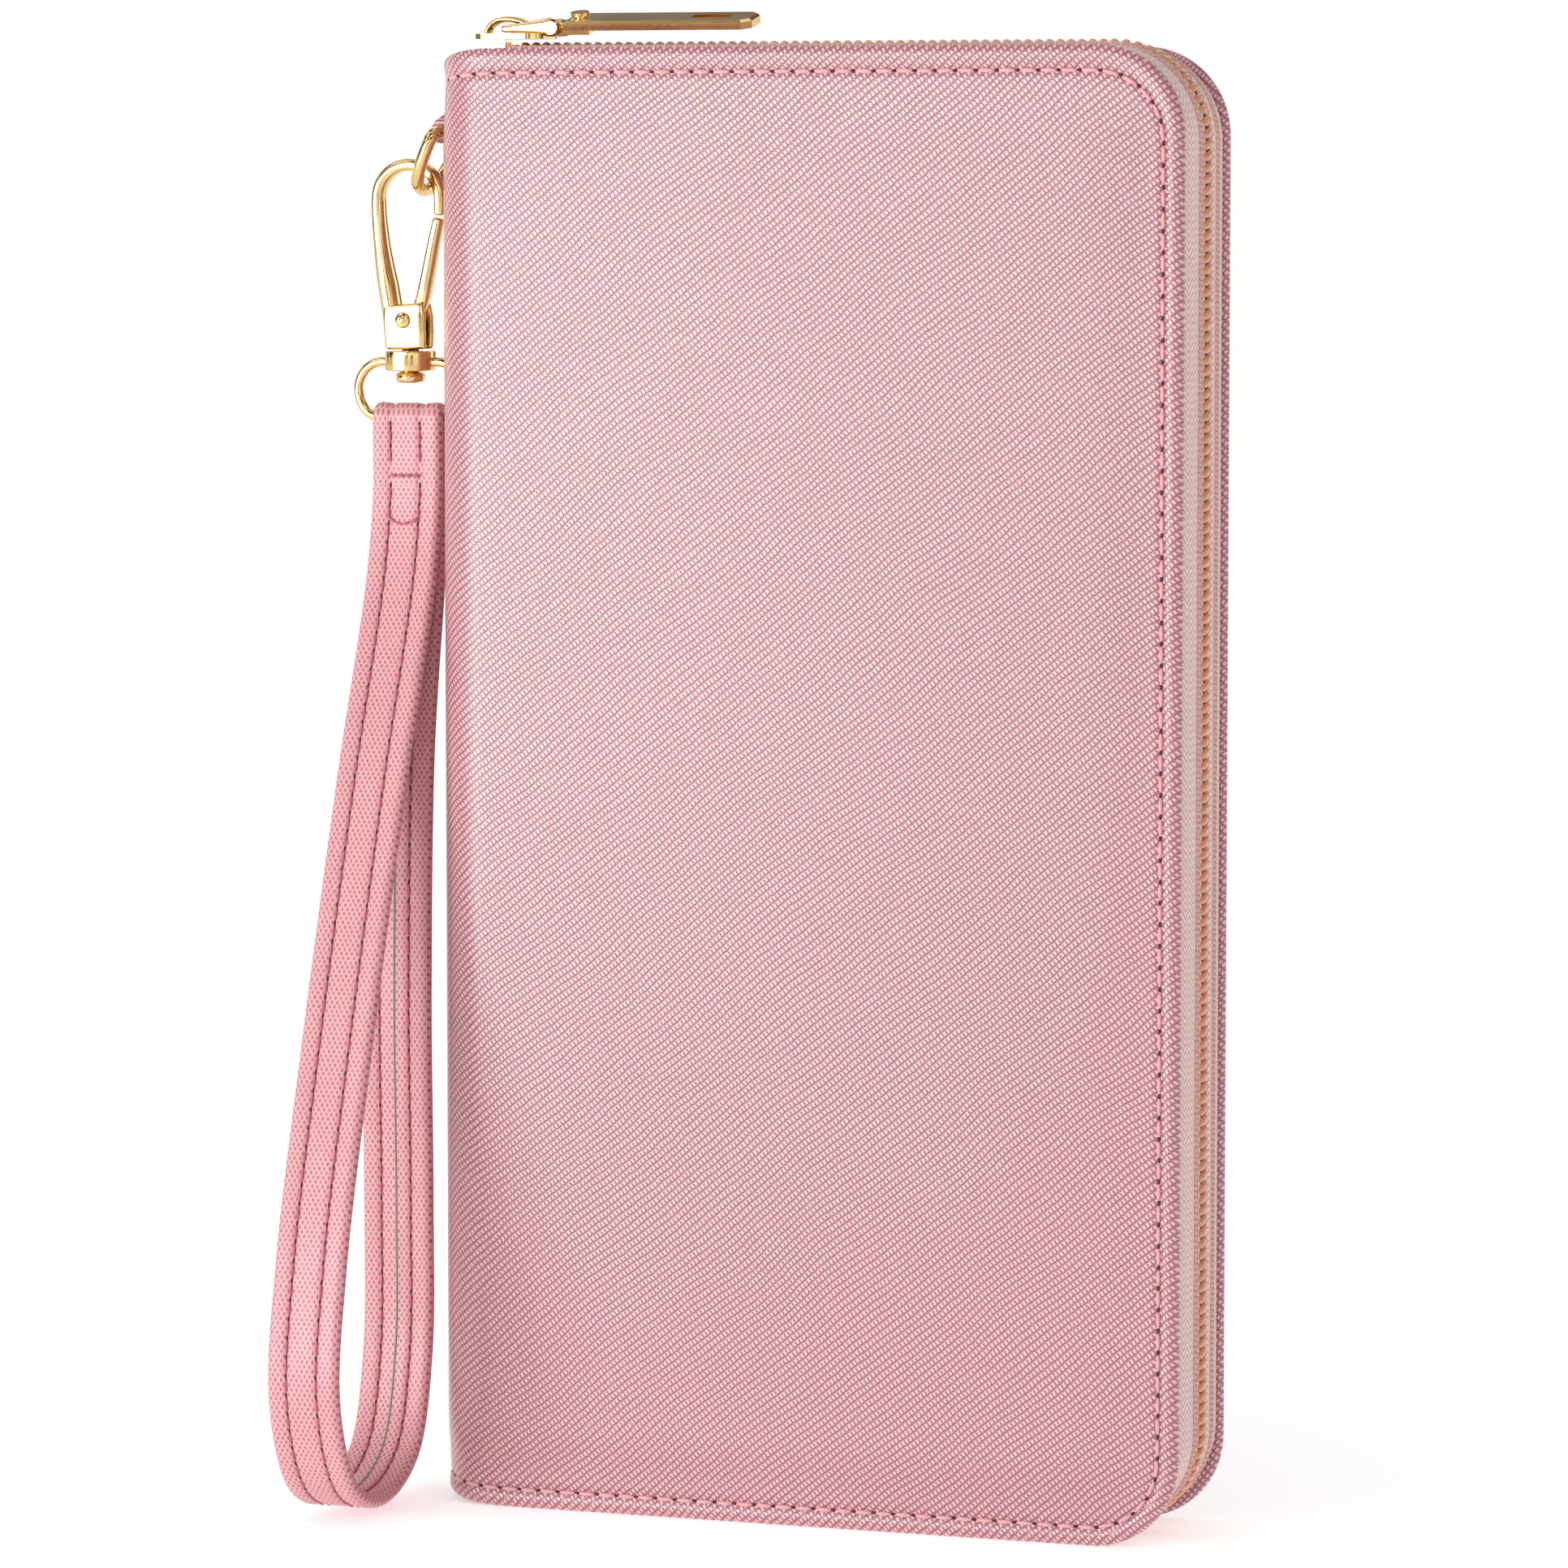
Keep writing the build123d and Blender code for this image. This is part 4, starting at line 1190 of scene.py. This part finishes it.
def build_stage():
    """A pale floor under soft studio light."""
    n = Nodes("floor_paper")
    paper = n.noise(n.coords("Object"), 30.0, 2.0)
    floor_material = n.finish(n.mix(paper, (0.93, 0.93, 0.93), (0.96, 0.96, 0.96)), 0.9, Emission_Strength=FLOOR_GLOW)
    n.shader.inputs["Emission Color"].default_value = (1, 1, 1, 1)
    verts = [(x * FLOOR_SIZE, y * FLOOR_SIZE, -FLOOR_DROP) for x, y in ((-1, -1), (1, -1), (1, 1), (-1, 1))]
    make_object("floor", verts, [(0, 1, 2, 3)], floor_material)
    world = bpy.data.worlds.new("studio")
    bpy.context.scene.world = world
    world.use_nodes = True
    nodes, link = world.node_tree.nodes, world.node_tree.links.new
    plain = nodes["Background"]
    plain.inputs["Color"].default_value = (1, 1, 1, 1)
    kinds = ("Math", "Background", "TexNoise", "TexCoord", "ValToRGB", "LightPath", "MixShader")
    glow, cards, pattern, where, ramp, rays, chosen = (nodes.new("ShaderNode" + kind) for kind in kinds)
    glow.operation = "MAXIMUM"
    glow.inputs[1].default_value = WORLD_LIGHT
    pattern.inputs["Scale"].default_value = 3.2
    pattern.inputs["Detail"].default_value = 0.5
    dark, light = ramp.color_ramp.elements
    dark.position, dark.color = 0.46, (0.05, 0.035, 0.012, 1)
    light.position, light.color = 0.60, (1.5, 1.5, 1.5, 1)
    link(rays.outputs["Is Camera Ray"], glow.inputs[0])
    link(glow.outputs[0], plain.inputs["Strength"])
    link(where.outputs["Generated"], pattern.inputs["Vector"])
    link(pattern.outputs["Fac"], ramp.inputs["Fac"])
    link(ramp.outputs["Color"], cards.inputs["Color"])
    link(rays.outputs["Is Glossy Ray"], chosen.inputs["Fac"])
    link(plain.outputs[0], chosen.inputs[1])
    link(cards.outputs[0], chosen.inputs[2])
    link(chosen.outputs[0], nodes["World Output"].inputs["Surface"])


def hang(data, place, aim):
    """Puts a lamp at a place, turned towards another."""
    light = bpy.data.objects.new(data.name, data)
    light.location = place
    light.rotation_euler = (Vector(aim) - light.location).to_track_quat("-Z", "Y").to_euler()
    bpy.context.scene.collection.objects.link(light)


def build_lights():
    """One large soft lamp and a stack of spots that fade across the cover, all from the left."""
    data = bpy.data.lights.new("key", "AREA")
    data.shape, data.size, data.energy = "SQUARE", KEY_SIZE, KEY_POWER
    hang(data, KEY_PLACE, KEY_AIM)
    for i, (height, power) in enumerate(SWEEP):
        data = bpy.data.lights.new(f"sweep_{i}", "SPOT")
        data.energy, data.shadow_soft_size = power, SWEEP_SOFT
        data.spot_size, data.spot_blend = SWEEP_ANGLE, 1.0
        hang(data, (SWEEP_X, SWEEP_Y, height + SWEEP_RISE), (SWEEP_AIM_X, 0, height))


def build_camera():
    """The camera at the front, a little right of the middle and tilted down."""
    data = bpy.data.cameras.new("camera")
    data.lens, data.sensor_width = CAMERA_LENS, 36.0
    data.clip_start, data.clip_end = 0.05, 30
    camera = bpy.data.objects.new("camera", data)
    turn, tilt = math.radians(CAMERA_TURN), math.radians(CAMERA_TILT)
    camera.location = CAMERA_PLACE
    forward = Vector((-math.sin(turn) * math.cos(tilt), math.cos(turn) * math.cos(tilt), -math.sin(tilt)))
    camera.rotation_euler = forward.to_track_quat("-Z", "Y").to_euler()
    bpy.context.scene.collection.objects.link(camera)
    bpy.context.scene.camera = camera


leather = saffiano()
seam_thread = thread("seam_thread", srgb(250, 220, 214), srgb(206, 140, 146))
needle_hole_shade = hole()
build_cover(leather, seam_thread, needle_hole_shade)
build_zip(herringbone(), nylon(), thread("tape_thread", srgb(250, 222, 214), srgb(214, 160, 150)))
core_cloth = woven("core_tape", srgb(168, 178, 164), srgb(128, 138, 126))
build_strap(
    strap_leather(), thread("strap_thread", srgb(216, 130, 146), srgb(170, 84, 104)), needle_hole_shade, core_cloth
)
lining_leather = smooth_leather("lining_leather", srgb(232, 182, 192), srgb(208, 150, 164))
lining_cloth = woven("lining_cloth", srgb(226, 176, 184), srgb(196, 140, 152))
build_inside(lining_leather, lining_cloth)
paint(["coin_pocket_gusset"], lining_leather)
pocket_tape = woven("pocket_tape", srgb(246, 214, 210), srgb(220, 170, 170))
paint(["coin_pocket_front_tape", "coin_pocket_back_tape"], pocket_tape)
paint(["coin_pocket_coil"], nylon())
paint(["front_board", "back_board"], board())
paint(["strap_core"], core_cloth)
metal = gold()
paint(GOLD_NODES, metal)
build_metal(metal)
ring_holder(leather)
build_stage()
build_lights()
build_camera()
bpy.context.scene.view_settings.view_transform = "Standard"
